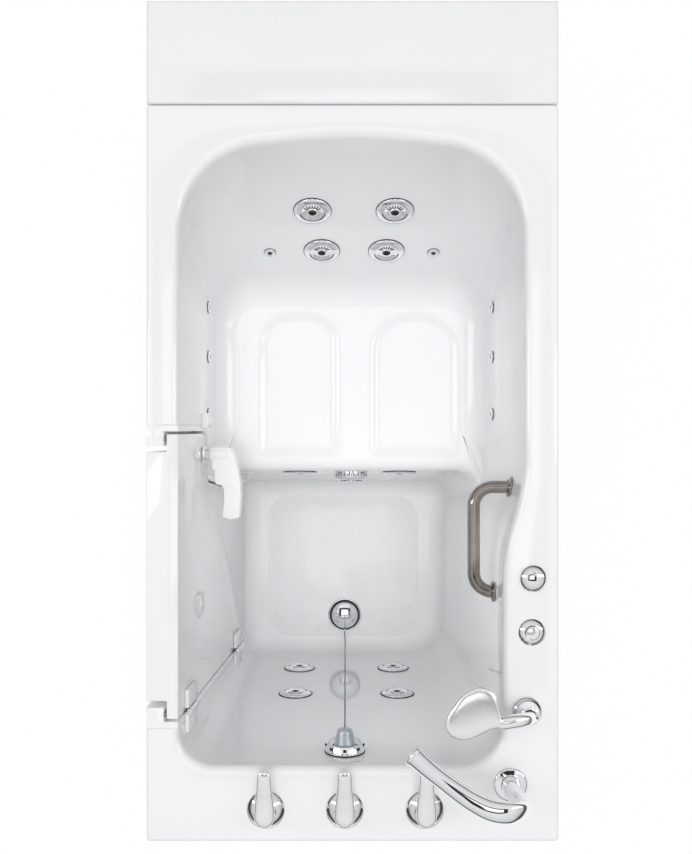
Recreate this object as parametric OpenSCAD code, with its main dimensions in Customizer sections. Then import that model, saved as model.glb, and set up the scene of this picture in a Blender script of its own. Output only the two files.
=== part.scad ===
// Walk-in bathtub with an inward swinging door, built-in seat, jets and a levelling base frame.
// Millimetres. +Z up, origin on the floor under the middle of the tub.
// -X is the door side, +X the grab bar side, +Y the seat end, -Y the foot end with the taps.

/* [Overall] */
// Width of the tub over its deck
tub_w = 748; // [700:1:820]
// Length of the tub over its deck, without the extension
tub_l = 1336; // [1250:1:1450]
// Length of the extension deck behind the seat end
ext_l = 187; // [100:1:250]
// Seam between the tub and the extension
seam = 2; // [1:0.5:5]
// Height of the rim above the floor
rim_z = 965; // [900:1:1050]
// Inside floor height above the bathroom floor
floor_z = 127; // [110:1:160]
// Seat height above the bathroom floor
seat_z = 557; // [480:1:600]
// Thickness of the moulded skin
skin = 6; // [4:0.5:10]
// Depth of the turned-down edge of the deck
apron = 46; // [30:1:80]

/* [Basin] */
// Left inner wall at the rim, from the middle of the tub
open_l = 316; // [290:1:330]
// Right inner wall at the rim beside the feet
open_r = 275; // [240:1:300]
// Extra half width of the seat bay on the right
bulge = 38; // [0:1:45]
// Width of the deck in front of the foot wall
deck_f = 135.5; // [110:0.5:160]
// Width of the deck behind the backrest
deck_b = 53.5; // [45:0.5:90]
// Lean of the left wall
draft_l = 3.5; // [2:0.1:6]
// Lean of the right wall
draft_r = 2.95; // [2:0.05:6]
// Lean of the foot wall
draft_f = 2.95; // [2:0.05:6]
// Lean of the backrest
lean_back = 29.4; // [20:0.1:32]
// Lean of the wall under the seat's front
lean_seat = 6; // [0:0.5:12]
// Front edge of the seat
nose_y = -105; // [-140:1:-80]
// Rounding of the rim into the basin
roll_r = 14; // [8:1:20]
// Rounding between the seat and its walls
seat_fillet = 45; // [20:1:60]
// Rounding of the seat's front edge
nose_r = 22; // [10:1:35]
// Rounding between the floor and its walls
floor_fillet = 34; // [15:1:50]
// Corner radius of the basin behind the seat, at the rim
back_r = 165; // [100:1:180]
// Depth of the thigh hollows in the seat
lobe_d = 5; // [2:0.5:8]
// Height of the raised tread on the floor
tread_h = 1.5; // [1:0.5:4]

/* [Door] */
// Hinge side edge of the door lip
door_hinge_y = -540.5; // [-545:0.5:-530]
// Latch side edge of the door lip
door_latch_y = -24; // [-40:1:-15]
// Height of the lower edge of the door lip
door_low_z = 175; // [165:1:220]
// Height of the step in the latch side edge
door_step_z = 688; // [640:1:740]
// Thickness of the door lip
lip_t = 21; // [15:1:25]
// Gap round the door lip
lip_gap = 5; // [3:0.5:8]
// Width of the frame outside the lip gap
jamb_w = 12; // [8:1:14]
// Width of the shoulder that carries the gasket
shoulder_w = 21; // [16:1:24]
// Thickness of the gasket
gasket_t = 5; // [3:0.5:8]
// Wall of the hollow door moulding
door_wall = 6; // [4:0.5:10]
// Distance of the hinge axis from the inner face
hinge_w = 10; // [8:0.5:14]
// Radius of the hinge knuckles
knuckle_r = 5.5; // [4.5:0.25:7]
// Radius of the hinge pins
pin_r = 3; // [2:0.25:4]
// Height of one hinge
hinge_h = 83; // [60:1:100]
// Length of one hinge leaf
leaf_l = 34; // [25:1:45]

/* [Fittings] */
// Radius of the jet faces on the foot wall and the backrest
jet_r = 37; // [30:0.5:45]
// Radius of the small air jets
air_jet_r = 12; // [8:0.5:16]
// Radius of the drain flange
drain_r = 43.5; // [38:0.5:50]
// Radius of the drain plug
plug_r = 38; // [30:0.5:42]
// Radius of the waste tailpiece, one and a half inch pipe
waste_r = 19.05; // [15:0.05:25]
// Radius of the grab bar tube
bar_r = 12; // [10:0.5:16]
// Height of the grab bar
bar_z = 865; // [820:1:900]
// Reach of the grab bar from the middle of the tub
bar_x = 231; // [220:1:250]
// Radius of the lever escutcheons
lever_r = 34; // [28:0.5:40]
// Radius of the dial and of the button ring
dial_r = 24; // [20:0.5:30]
// Radius of the supply pipes
supply_r = 7.94; // [6:0.01:11]
// Diameter of the plug's bead chain
chain_d = 3.6; // [3:0.1:5]

/* [Frame] */
// Width of the square tubes of the base
rail = 40; // [30:1:50]
// Wall of the square tubes
rail_wall = 2.5; // [2:0.5:4]
// Height of the rails above the floor
rail_z = 45; // [35:1:60]
// Width of the square uprights
post = 24; // [20:1:30]
// Radius of the levelling foot pads
foot_r = 28; // [20:1:40]

/* [Hidden] */
$fn = 48;
gap = 0.3;
run = 0.05;
half_w = tub_w/2;
foot_end = -762.5;
tub_end = foot_end + tub_l;
ext_start = tub_end + seam;
ext_end = ext_start + ext_l;
open_f = -foot_end - deck_f;
open_b = tub_end - deck_b;
deck_under = rim_z - skin;
outer_floor = floor_z - skin;
rail_top = rail_z + rail;
far = 400;

// ---- where the walls run ----
function down(z) = rim_z - z;
function left_x(z) = -open_l + down(z)*tan(draft_l);
function foot_y(z) = -open_f + down(z)*tan(draft_f);
function back_y(z) = open_b - down(z)*tan(lean_back);
function seat_y(z) = nose_y - (seat_z - z)*tan(lean_seat);
s_start = -280;
s_end = -75;
bulge_fade = 0.0172;
function smooth(t) = let(c = max(0, min(1, t))) c*c*(3 - 2*c);
function s_curve(y) = smooth((y - s_start)/(s_end - s_start));
function right_x(y, z) = open_r - down(z)*tan(draft_r)
    + (bulge - bulge_fade*down(z))*s_curve(y);
function right_yaw(y, z) = atan((right_x(y + 1, z) - right_x(y - 1, z))/2);

// Frames standing on the walls, with +Z pointing into the basin
module on_door_wall()
    translate([-open_l, 0, rim_z]) rotate([0, -draft_l, 0]) rotate([90, 0, 90]) children();
module on_left_wall(y, z)
    translate([left_x(z), y, z]) rotate([0, -draft_l, 0]) rotate([0, 90, 0]) children();
module on_right_wall(y, z)
    translate([right_x(y, z), y, z]) rotate([0, 0, -right_yaw(y, z)]) rotate([0, draft_r, 0])
        rotate([0, -90, 0]) children();
module on_foot_wall(x, z)
    translate([x, foot_y(z), z]) rotate([draft_f, 0, 0]) rotate([-90, 0, 0]) children();
module on_back_wall(x, z)
    translate([x, back_y(z), z]) rotate([-lean_back, 0, 0]) rotate([90, 0, 0]) children();
module on_seat_front(x, z)
    translate([x, seat_y(z), z]) rotate([-lean_seat, 0, 0]) rotate([90, 0, 0]) children();

// ---- one level of the basin, as a closed loop of points ----
corner_n = 6;
side_n = 8;
crown_n = 4;
foot_left_r = 65;
foot_left_fade = 0.046;
foot_right_r = 80;
least_r = 6;
fade_from = -120;
fade_to = -60;
function arc(cx, cy, r, a0, n) = [for (i = [0:n]) [cx + r*cos(a0 + 90*i/n), cy + r*sin(a0 + 90*i/n)]];
// in: how far the loop is drawn in; fil: extra drawn in round the seat only;
// yb: back edge; rl, rr: back corner radii; crown: bow of the back edge
function level(z, in, fil, yb, rl, rr, crown) =
    let(xl = left_x(z) + in,
        yf = foot_y(z) + in,
        fl = max(least_r, foot_left_r - foot_left_fade*down(z) - in),
        fr = max(least_r, foot_right_r - in),
        ye = yb - in - fil,
        bl = max(least_r, rl - in - fil),
        br = max(least_r, rr - in - fil),
        y_side = min(fade_to, ye - crown - max(bl, br)),
        xf = right_x(-open_f, z) - in,
        xr = right_x(ye - br, z) - in - fil)
    concat(
        [for (p = arc(xl + fl, yf + fl, fl, 180, corner_n)) [p.x, p.y, z]],
        [for (p = arc(xf - fr, yf + fr, fr, 270, corner_n)) [p.x, p.y, z]],
        [for (i = [0:side_n]) let(y = s_start + (y_side - s_start)*i/side_n)
            [right_x(y, z) - in - fil*smooth((y - fade_from)/(fade_to - fade_from)), y, z]],
        [for (p = arc(xr - br, ye - crown - br, br, 0, corner_n)) [p.x, p.y, z]],
        [for (i = [1:crown_n - 1]) let(u = 2*i/crown_n - 1, xa = xr - br, xb = xl + fil + bl)
            [xa + (xb - xa)*i/crown_n, ye - crown*u*u, z]],
        [for (p = arc(xl + fil + bl, ye - crown - bl, bl, 90, corner_n)) [p.x, p.y, z]],
        [for (i = [0:side_n]) let(y = y_side + (s_start - y_side)*i/side_n)
            [xl + fil*smooth((y - fade_from)/(fade_to - fade_from)), y, z]]);

rim_crown = 12;
roll_lift = 0.4;
seat_back_r = 90;
well_r = 45;
well_left_r = 12;
seat_fall = 2;
function back_radius(z) = back_r - (back_r - seat_back_r)*down(z)/(rim_z - seat_z);
crown_from = 840;
function crown_at(z) = rim_crown*max(0, (z - crown_from)/(rim_z - crown_from));
// All levels of the basin for a skin that lies t outside the inner surface
function basin(t) =
    let(zs = seat_z - t - (t > 0 ? lobe_d : 0), zf = floor_z - t, ny = nose_y + t, rs = seat_fillet + t,
        rn = nose_r - t, rf = floor_fillet + t, coarse = t > 0 ? 45 : 18,
        wy = function(z) ny - (seat_z - z)*tan(lean_seat))
    concat(
        t > 0 ? [level(deck_under + 2, -roll_r - t, 0, open_b, back_r, back_r, rim_crown)]
            : [level(rim_z + 1, -roll_r, 0, open_b, back_r, back_r, rim_crown)],
        [for (a = [0:t > 0 ? 45 : 30:90]) let(z = rim_z + roll_lift - t - roll_r*(1 - cos(a)))
            level(z, -roll_r*(1 - sin(a)) - t, 0, back_y(z), back_radius(z), back_radius(z),
                crown_at(z))],
        [for (z = [840, 690]) level(z, -t, 0, back_y(z), back_radius(z), back_radius(z),
            crown_at(z))],
        [for (a = [0:coarse:90]) let(z = zs + seat_fall + rs*(1 - sin(a)))
            level(z, -t, rs*(1 - cos(a)), back_y(z), back_radius(z), back_radius(z), 0)],
        [for (a = [0:t > 0 ? 45 : 30:90]) let(z = zs - rn*(1 - cos(a)))
            level(z, -t, 0, wy(z) + rn*(1 - sin(a)) - t, well_left_r, well_r, 0)],
        [for (z = [350]) level(z, -t, 0, wy(z) - t, well_left_r, well_r, 0)],
        [for (a = [0:coarse:90]) let(z = zf + rf*(1 - sin(a)))
            level(z, -t + rf*(1 - cos(a)), 0, wy(z) - t, well_left_r, well_r, 0)]);

// A closed solid through equal loops of points, first loop on top
module loft(loops) {
    n = len(loops[0]);
    m = len(loops);
    polyhedron(points = [for (l = loops) for (p = l) p],
        faces = concat(
            [[for (i = [n - 1:-1:0]) i]],
            [for (k = [0:m - 2]) for (i = [0:n - 1]) let(j = (i + 1) % n)
                [k*n + i, k*n + j, (k + 1)*n + j]],
            [for (k = [0:m - 2]) for (i = [0:n - 1]) let(j = (i + 1) % n)
                [k*n + i, (k + 1)*n + j, (k + 1)*n + i]],
            [[for (i = [0:n - 1]) (m - 1)*n + i]]));
}

// ---- door outline, u along the tub and v down the slope from the rim ----
door_r = 60;
step_r = 46;
foot_of_step_r = 22;
above = 60;
function low(z) = -(rim_z - z)/cos(draft_l);
lip_pts = [[door_hinge_y, above], [door_hinge_y, low(door_low_z)], [-178, low(door_low_z)],
    [-125, low(door_step_z - 12)], [door_latch_y, low(door_step_z)], [door_latch_y, above]];
lip_radii = [0, door_r, door_r, -foot_of_step_r, step_r, 0];
core_pts = [[-508, above], [-508, low(214)], [-226, low(214)], [-166, low(710)], [-56, low(724)],
    [-56, above]];
core_radii = [0, 34, 34, -30, 24, 0];
function unit(v) = v/norm(v);
// The outline drawn in by e
function inset(pts, e) = let(n = len(pts)) [for (i = [0:n - 1])
    let(p = pts[i], a = unit(p - pts[(i + n - 1) % n]), b = unit(pts[(i + 1) % n] - p),
        na = [-a.y, a.x], nb = [-b.y, b.x], k = 1 + na*nb)
    p + e*(na + nb)/k];
function rounded(pts, radii, e) = let(q = inset(pts, e), n = len(pts)) [for (i = [0:n - 1])
    let(p = q[i], r0 = radii[i], r = r0 == 0 ? 0 : max(2, r0 > 0 ? r0 - e : -r0 + e),
        a = unit(q[(i + n - 1) % n] - p), b = unit(q[(i + 1) % n] - p),
        half = acos(a*b)/2, cut = r/tan(half), c = p + unit(a + b)*r/sin(half),
        s = p + a*cut - c, t = p + b*cut - c,
        sweep = r == 0 ? 0 : (r0 > 0 ? 1 : -1)*(180 - 2*half))
    each (r == 0 ? [p] : [for (k = [0:arc_steps]) let(w = sweep*k/arc_steps)
        c + [s.x*cos(w) - s.y*sin(w), s.x*sin(w) + s.y*cos(w)]])];
arc_steps = 8;
module lip_2d(e) polygon(rounded(lip_pts, lip_radii, e));
module core_2d(e) polygon(rounded(core_pts, core_radii, e));
module in_door_box() intersection() {
    children();
    translate([-half_w, foot_end, 0]) cube([far, tub_l, rim_z]);
}
shoulder_w_at = -lip_t - gasket_t - gap;

// ---- jets ----
back_jets = [[-78, 782], [85, 782], [-62, 672], [72, 672]];
foot_jets = [[-124, 510], [102, 510], [-124, 300], [102, 300]];
seat_jets = [[-114, 498], [107, 498]];
side_air = [[238, 670], [135, 670], [16, 670]];
back_air = [[-170, 668], [170, 668]];
throat_r = 20.3;
jet_body_r = 24;
air_shank_r = 7;
module at_back_jets() for (p = back_jets) on_back_wall(p.x, p.y) children();
module at_foot_jets() for (p = foot_jets) on_foot_wall(p.x, p.y) children();
module at_seat_jets() for (p = seat_jets) on_seat_front(p.x, p.y) children();
module at_air_jets() {
    for (p = side_air) { on_left_wall(p.x, p.y) children(); on_right_wall(p.x, p.y) children(); }
    for (p = back_air) on_back_wall(p.x, p.y) children();
}
module at_all_jets() { at_back_jets() children(); at_foot_jets() children(); at_seat_jets() children(); }

// ---- positions of the fittings ----
drain_x = -15;
drain_y = -493;
overflow_x = -14;
overflow_z = 880;
suction_z = 470;
lever_y = -704;
hot_x = -157;
div_x = -14;
cold_x = 131;
spout_at = [286, -658];
holder_at = [316, -526];
dial_at = [327, -285];
button_at = [325, -383];
bar_y = [-125, -324];
stem_r = 12;
deck_hole = stem_r + gap;
module deck_holes() {
    $fn = 24;
    for (p = [[hot_x, lever_y], [div_x, lever_y], [cold_x, lever_y], spout_at, holder_at,
        dial_at, button_at])
        translate([p.x, p.y, rim_z - 30]) cylinder(r = deck_hole, h = 60);
}
module wall_holes() {
    $fn = 24;
    at_all_jets() translate([0, 0, -40]) cylinder(r = jet_body_r + gap, h = 80);
    at_air_jets() translate([0, 0, -30]) cylinder(r = air_shank_r + gap, h = 60);
    on_seat_front(0, suction_z) translate([0, 0, -40]) cylinder(r = jet_body_r + gap, h = 80);
    on_foot_wall(overflow_x, overflow_z) translate([0, 0, -40]) cylinder(r = 20, h = 80);
    translate([drain_x, drain_y, 0]) cylinder(r = 26, h = seat_z);
    for (y = bar_y) translate([right_x(y, bar_z) - 30, y, bar_z]) rotate([0, 90, 0])
        cylinder(r = bar_r + gap, h = 60);
}
// Thigh hollows, flat in front and round behind
lobe_back = 240;
module lobe(x0, x1, r) hull() {
    for (x = [x0 + r, x1 - r]) translate([x, lobe_back - r, seat_z - lobe_d])
        cylinder(r1 = r - 8, r2 = r, h = lobe_d + 0.5, $fn = 40);
    for (x = [x0 + 12, x1 - 12]) translate([x, -66, seat_z - lobe_d])
        cylinder(r1 = 4, r2 = 12, h = lobe_d + 0.5, $fn = 24);
}
module tread(h) hull() for (x = [-210 + 55, 173 - 55]) for (y = [-545 + 55, -189 - 55])
    translate([x, y, floor_z - 1]) cylinder(r1 = 55, r2 = 55 - h, h = 1 + h, $fn = 40);
module tread_rib(y) hull() for (x = [-185, 150])
    translate([x, y, floor_z + 0.5]) cylinder(r1 = 4, r2 = 2, h = tread_h + rib_h - 0.5, $fn = 8);
rib_h = 0.8;
edge_r = 6;
module deck_plate(x0, x1, y0, y1) {
    difference() {
        hull() for (a = [0:30:90]) let(i = edge_r*(1 - cos(a)))
            translate([x0 + i, y0 + i, rim_z - apron])
                cube([x1 - x0 - 2*i, y1 - y0 - 2*i, apron - edge_r + edge_r*sin(a)]);
        translate([x0 + skin, y0 + skin, rim_z - apron - 1])
            cube([x1 - x0 - 2*skin, y1 - y0 - 2*skin, apron + 1 - skin]);
    }
}

// Flat pads in the corner of the basin, where the hinge leaves are fixed
pad_l = 50;
pad_h = 100;
pad_lift = 0.1;
module at_hinge_pads() for (z = hinge_z) on_door_wall() translate([door_hinge_y, low(z), 0]) children();

// ---- moulded parts ----
module tub_shell() color("whitesmoke") difference() {
    union() {
        deck_plate(-half_w, half_w, foot_end, tub_end);
        loft(basin(skin));
        at_hinge_pads() translate([-pad_l, -pad_h/2, -skin - 1]) cube([pad_l, pad_h, 3*skin]);
    }
    at_hinge_pads() translate([-pad_l + 5, -hinge_h/2 - 2, pad_lift]) cube([pad_l, hinge_h + 4, 4*skin]);
    difference() {
        loft(basin(0));
        tread(tread_h);
        for (y = [-520:30:-220]) tread_rib(y);
    }
    lobe(-203, -24, 66);
    lobe(40, 236, 88);
    on_door_wall() translate([0, 0, -far]) linear_extrude(far + 5) lip_2d(-lip_gap - jamb_w - gap);
    wall_holes();
    deck_holes();
}
module door_frame() color("whitesmoke") in_door_box() on_door_wall() difference() {
    translate([0, 0, -far]) linear_extrude(far) lip_2d(-lip_gap - jamb_w);
    translate([0, 0, shoulder_w_at]) linear_extrude(far) lip_2d(-lip_gap);
    translate([0, 0, -far - 1]) linear_extrude(far + 2) lip_2d(shoulder_w);
}
module door_gasket() color("dimgray") in_door_box() on_door_wall() difference() {
    translate([0, 0, shoulder_w_at]) linear_extrude(gasket_t) lip_2d(4);
    translate([0, 0, shoulder_w_at - 1]) linear_extrude(gasket_t + 2) lip_2d(12);
}
cover_t = 4;
module door_panel() color("white") in_door_box() difference() {
    on_door_wall() difference() {
        union() {
            translate([0, 0, -lip_t]) linear_extrude(lip_t) lip_2d(0);
            translate([0, 0, -far]) linear_extrude(far - 1) core_2d(0);
        }
        translate([0, 0, -far - 1]) linear_extrude(far + 1 - door_wall)
            intersection() { core_2d(door_wall); translate([-700, -1000]) square([700, 1000 - 8]); }
    }
}
module door_cover() color("whitesmoke") intersection() {
    on_door_wall() translate([0, 0, -far]) linear_extrude(far)
        intersection() { core_2d(door_wall + gap); translate([-700, -1000]) square([700, 1000 - 9]); }
    translate([-half_w, foot_end, 0]) cube([cover_t, tub_l, rim_z]);
}

// ---- hinges, set out on the door wall ----
hinge_z = [867.5, 311.5];
segment = (hinge_h - 2)/3;
leaf_t = 8;
module at_hinges() for (z = hinge_z) on_door_wall()
    translate([-541, low(z) - hinge_h/2, hinge_w]) rotate([-90, 0, 0]) children();
// Knuckles along local Z; leaves lie below the axis on the wall side
module knuckle(z0, h) translate([0, 0, z0]) cylinder(r = knuckle_r, h = h);
module pin_bore() translate([0, 0, -1]) cylinder(r = pin_r + run, h = hinge_h + 2);
leaf_low = hinge_w - gap;
tongue_t = 5;
module hinge_frame_leaves() color("gainsboro") at_hinges() difference() {
    union() {
        knuckle(0, segment);
        knuckle(hinge_h - segment, segment);
        for (z = [0, hinge_h - segment]) translate([-knuckle_r - 1, leaf_low - tongue_t, z])
            cube([knuckle_r + 1, tongue_t, segment]);
        translate([-knuckle_r - leaf_l, leaf_low - leaf_t, 0]) cube([leaf_l, leaf_t, hinge_h]);
    }
    pin_bore();
}
module hinge_door_leaves() color("gainsboro") at_hinges() difference() {
    union() {
        knuckle(segment + 1, segment);
        translate([0, leaf_low - tongue_t, segment + 1]) cube([knuckle_r + 1, tongue_t, segment]);
        translate([knuckle_r + 0.5, leaf_low - leaf_t, 0]) cube([leaf_l, leaf_t, hinge_h]);
    }
    pin_bore();
}
module hinge_pins() color("silver") at_hinges() {
    translate([0, 0, -1]) cylinder(r = pin_r, h = hinge_h + 2);
    for (z = [-4, hinge_h + 1]) translate([0, 0, z]) cylinder(r = knuckle_r - 0.5, h = 3);
}

// ---- latch ----
latch_u = -66;
latch_z = 724;
latch_post_r = 6;
bracket_t = 4;
hub_w = 16;
module on_latch() on_door_wall() translate([latch_u, low(latch_z), 0]) children();
module latch_bracket() color("silver") on_latch() {
    translate([-16, -19, gap]) cube([32, 38, bracket_t]);
    translate([0, 0, gap + bracket_t]) cylinder(r = 11, h = hub_w - 2*gap - bracket_t);
    translate([0, 0, gap]) cylinder(r = latch_post_r, h = 56);
    translate([0, 0, 54 + gap]) cylinder(r = 9, h = 3);
}
grip_w = 34;
module latch_handle() color("white") on_latch() difference() {
    union() {
        translate([0, 0, hub_w]) cylinder(r = 19, h = 38 - gap);
        translate([-26, -19, hub_w]) cube([26, 38, 30]);
        hull() {
            translate([-4, 0, 34]) rotate([0, 90, 90]) translate([0, 0, -17])
                cylinder(r = 10, h = grip_w, $fn = 32);
            translate([-60, 0, 58]) rotate([0, 90, 90]) translate([0, 0, -17])
                cylinder(r = 15, h = grip_w, $fn = 32);
        }
        hull() {
            translate([-60, 0, 58]) rotate([0, 90, 90]) translate([0, 0, -17])
                cylinder(r = 15, h = grip_w, $fn = 32);
            translate([-92, 0, 61]) rotate([0, 90, 90]) translate([0, 0, -17])
                cylinder(r = 16, h = grip_w, $fn = 32);
        }
        hull() {
            translate([-92, 0, 61]) rotate([0, 90, 90]) translate([0, 0, -17])
                cylinder(r = 16, h = grip_w, $fn = 32);
            translate([-117, 0, 58]) rotate([0, 90, 90]) translate([0, 0, -17])
                cylinder(r = 14, h = grip_w, $fn = 32);
        }
    }
    cylinder(r = latch_post_r + run, h = 90);
    translate([0, 0, 54]) cylinder(r = 9 + 2*gap, h = 40);
    translate([-26, -30, hub_w - 1]) cube([10, 60, 4]);
}
module latch_keeper() color("silver") on_door_wall() translate([-13, low(latch_z) - 20, gap])
    difference() {
        cube([30, 40, 14]);
        translate([-1, -1, 9]) rotate([0, -30, 0]) cube([40, 42, 20]);
        translate([22, 10, -1]) cylinder(r = 2.5, h = 20);
        translate([22, 30, -1]) cylinder(r = 2.5, h = 20);
    }

// ---- extension and skirts ----
skirt_t = 5;
skirt_x = -half_w + skin + gap;
skirt_low = 20;
skirt_top = rim_z - skin - gap;
access = [60, 200, 340, 330];
module extension_deck() color("whitesmoke") deck_plate(-half_w, half_w, ext_start, ext_end);
module panel_yz(y0, y1, z0, z1, t, x) translate([x, y0, z0]) cube([t, y1 - y0, z1 - z0]);
module front_skirt() color("whitesmoke") difference() {
    union() {
        panel_yz(foot_end + skin + gap, tub_end - skin - gap, skirt_low, skirt_top, skirt_t, skirt_x);
        panel_yz(foot_end + skin + gap, tub_end - skin - gap, skirt_low, skirt_low + 15, 25,
            skirt_x);
    }
    on_door_wall() translate([0, 0, -far]) linear_extrude(far + 5) lip_2d(-lip_gap - jamb_w - gap);
    translate([skirt_x - 1, access[0], access[1]]) cube([skirt_t + 2, access[2], access[3]]);
}
module access_panel() color("white") {
    translate([skirt_x - 3 - gap, access[0] - 12, access[1] - 12]) cube([3, access[2] + 24, access[3] + 24]);
    translate([skirt_x - 1, access[0] + 1, access[1] + 1]) cube([skirt_t + 1, access[2] - 2, access[3] - 2]);
}
module extension_skirt() color("whitesmoke")
    panel_yz(ext_start + skin + gap, ext_end - skin - gap, skirt_low, skirt_top, skirt_t, skirt_x);

// ---- steel base ----
rail_x = 290;
rail_y = [-735, 735];
cross_y = [-715, -570, -330, -60, 190, 310, 430, 525, 715];
post_y = [-700, 28, 528, 722];
anchor_y = [-600, 600];
anchor_r = 5;
tab_w = 40;
tab_t = 5;
tab_l = half_w - skin - skirt_t - 1 - rail_x - rail/2;
foot_xy = [for (x = [-rail_x, rail_x]) for (y = [-680, -90, 670]) [x, y]];
module tube_y(x, y0, y1, z, w) translate([x - w/2, y0, z]) difference() {
    cube([w, y1 - y0, w]);
    translate([rail_wall, -1, rail_wall]) cube([w - 2*rail_wall, y1 - y0 + 2, w - 2*rail_wall]);
}
module tube_x(y, x0, x1, z, w) translate([x0, y - w/2, z]) difference() {
    cube([x1 - x0, w, w]);
    translate([-1, rail_wall, rail_wall]) cube([x1 - x0 + 2, w - 2*rail_wall, w - 2*rail_wall]);
}
stud_r = 6;
module base_rails() color("lightslategray") difference() {
    union() {
        for (x = [-rail_x, rail_x]) tube_y(x, rail_y[0], rail_y[1], rail_z, rail);
        for (y = cross_y) tube_x(y, -rail_x + rail/2, rail_x - rail/2, rail_z, rail);
        for (x = [rail_x + rail/2, -rail_x - rail/2 - tab_l]) for (y = post_y)
            translate([x, y - tab_w/2, rail_z]) cube([tab_l, tab_w, tab_t]);
    }
    for (p = foot_xy) translate([p.x, p.y, rail_z - 1]) cylinder(r = stud_r + gap, h = rail + 2);
    for (x = [-rail_x, rail_x]) for (y = anchor_y) translate([x, y, rail_z - 1])
        cylinder(r = anchor_r, h = rail + 2);
}
module uprights() color("slategray") for (x = [-1, 1]) for (y = post_y)
    translate([x*(half_w - skin - skirt_t - 1 - post/2) - post/2, y - post/2, rail_z + tab_t]) difference() {
        cube([post, post, deck_under - rail_z - tab_t - gap]);
        translate([rail_wall, rail_wall, -1]) cube([post - 2*rail_wall, post - 2*rail_wall, rim_z]);
    }
module levelling_feet() color("dimgray") for (p = foot_xy) translate([p.x, p.y, 0]) {
    cylinder(r1 = foot_r, r2 = foot_r - 4, h = 10);
    cylinder(r = stud_r, h = rail_top + 4);
    translate([0, 0, 10]) cylinder(r1 = 14, r2 = 9, h = 10);
}
module lock_nuts() color("silver") for (p = foot_xy) translate([p.x, p.y, rail_z - 10 - gap])
    difference() {
        cylinder(r = 11, h = 10, $fn = 6);
        translate([0, 0, -1]) cylinder(r = stud_r + run, h = 12);
    }
module floor_bearers() color("lightslategray") for (x = [-230, 15]) for (y = [-330, -570])
    translate([x, y - 20, rail_top]) cube([185, 40, outer_floor - rail_top - gap]);

// ---- grab bar ----
bend_r = 26;
flange_t = 4;
module grab_bar() color("silver") {
    translate([bar_x, bar_y[1] + bend_r, bar_z]) rotate([-90, 0, 0])
        cylinder(r = bar_r, h = bar_y[0] - bar_y[1] - 2*bend_r);
    for (k = [0, 1]) translate([bar_x + bend_r, bar_y[k] + (k == 0 ? -bend_r : bend_r), bar_z])
        rotate([0, 0, k == 0 ? 90 : 180]) rotate_extrude(angle = 90) translate([bend_r, 0]) circle(r = bar_r);
    for (y = bar_y) translate([bar_x + bend_r, y, bar_z]) rotate([0, 90, 0])
        cylinder(r = bar_r, h = right_x(y, bar_z) + skin + 6 - bar_x - bend_r);
    for (y = bar_y) on_right_wall(y, bar_z) translate([0, 0, 4*gap]) cylinder(r1 = 19, r2 = 17, h = flange_t);
    for (y = bar_y) translate([right_x(y, bar_z) + skin + 4, y, bar_z]) rotate([0, 90, 0])
        cylinder(r = 18, h = 8, $fn = 6);
}

// ---- overflow, drain, plug and chain ----
cover_r = 38.5;
boss_tip = 43;
module overflow_cover() color("silver") on_foot_wall(overflow_x, overflow_z) difference() {
    union() {
        translate([0, 0, gap]) cylinder(r = cover_r, h = 3);
        translate([0, 0, gap + 3]) cylinder(r1 = cover_r - 1, r2 = cover_r - 6, h = 14);
        translate([0, 0, 16]) cylinder(r1 = 20, r2 = 14, h = boss_tip - 19);
        translate([0, 0, boss_tip - 3]) cylinder(r1 = 14, r2 = 11, h = 3);
        translate([0, 0, -30]) cylinder(r = 17, h = 31);
    }
    for (a = [0:45:315]) rotate([0, 0, a]) translate([24, -3, 12]) cube([20, 6, 30]);
    translate([0, 0, -31]) cylinder(r = 14, h = 40);
}
flange_z = floor_z + tread_h + rib_h + gap;
throat = 22;
shank_low = outer_floor - 8;
shank_r = 25.5;
module drain_flange() color("silver") translate([drain_x, drain_y, 0]) difference() {
    union() {
        translate([0, 0, flange_z]) cylinder(r1 = drain_r, r2 = drain_r - 2, h = 3);
        translate([0, 0, shank_low]) cylinder(r = shank_r, h = flange_z - shank_low + 1);
    }
    translate([0, 0, 0]) cylinder(r = throat, h = flange_z + 10);
}
plug_z = flange_z + 3 + gap;
module drain_plug() color("dimgray") translate([drain_x, drain_y, plug_z]) {
    cylinder(r = plug_r, h = 3);
    translate([0, 0, 3]) cylinder(r1 = plug_r - 3, r2 = plug_r - 9, h = 8);
    translate([0, 0, -14]) cylinder(r = throat - 1.5, h = 15);
}
// Route of the chain, from the overflow boss down the wall to the plug
chain_route = [[-14, -578, 876], [-14, -577, 850], [-14, -577, 800], [-14, -576, 700], [-14, -575, 600],
    [-14, -573, 500], [-14, -571, 400], [-14, -568, 300], [-14, -562, 220], [-14, -556, 184],
    [-14.5, -549, 158], [-15, -543, 144], [-15, -538, 138], [-15, -535, 136.5]];
module bead_tube(path, d) {
    m = len(path);
    loft([for (k = [0:m - 1]) let(t = unit(path[min(k + 1, m - 1)] - path[max(k - 1, 0)]),
        s = unit(cross(t, [1, 0.2, 0.1])), u = cross(s, t))
        [for (i = [0:7]) path[k] + d/2*(cos(45*i)*s + sin(45*i)*u)]]);
}
module plug_chain() color("silver") bead_tube(chain_route, chain_d);

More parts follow.
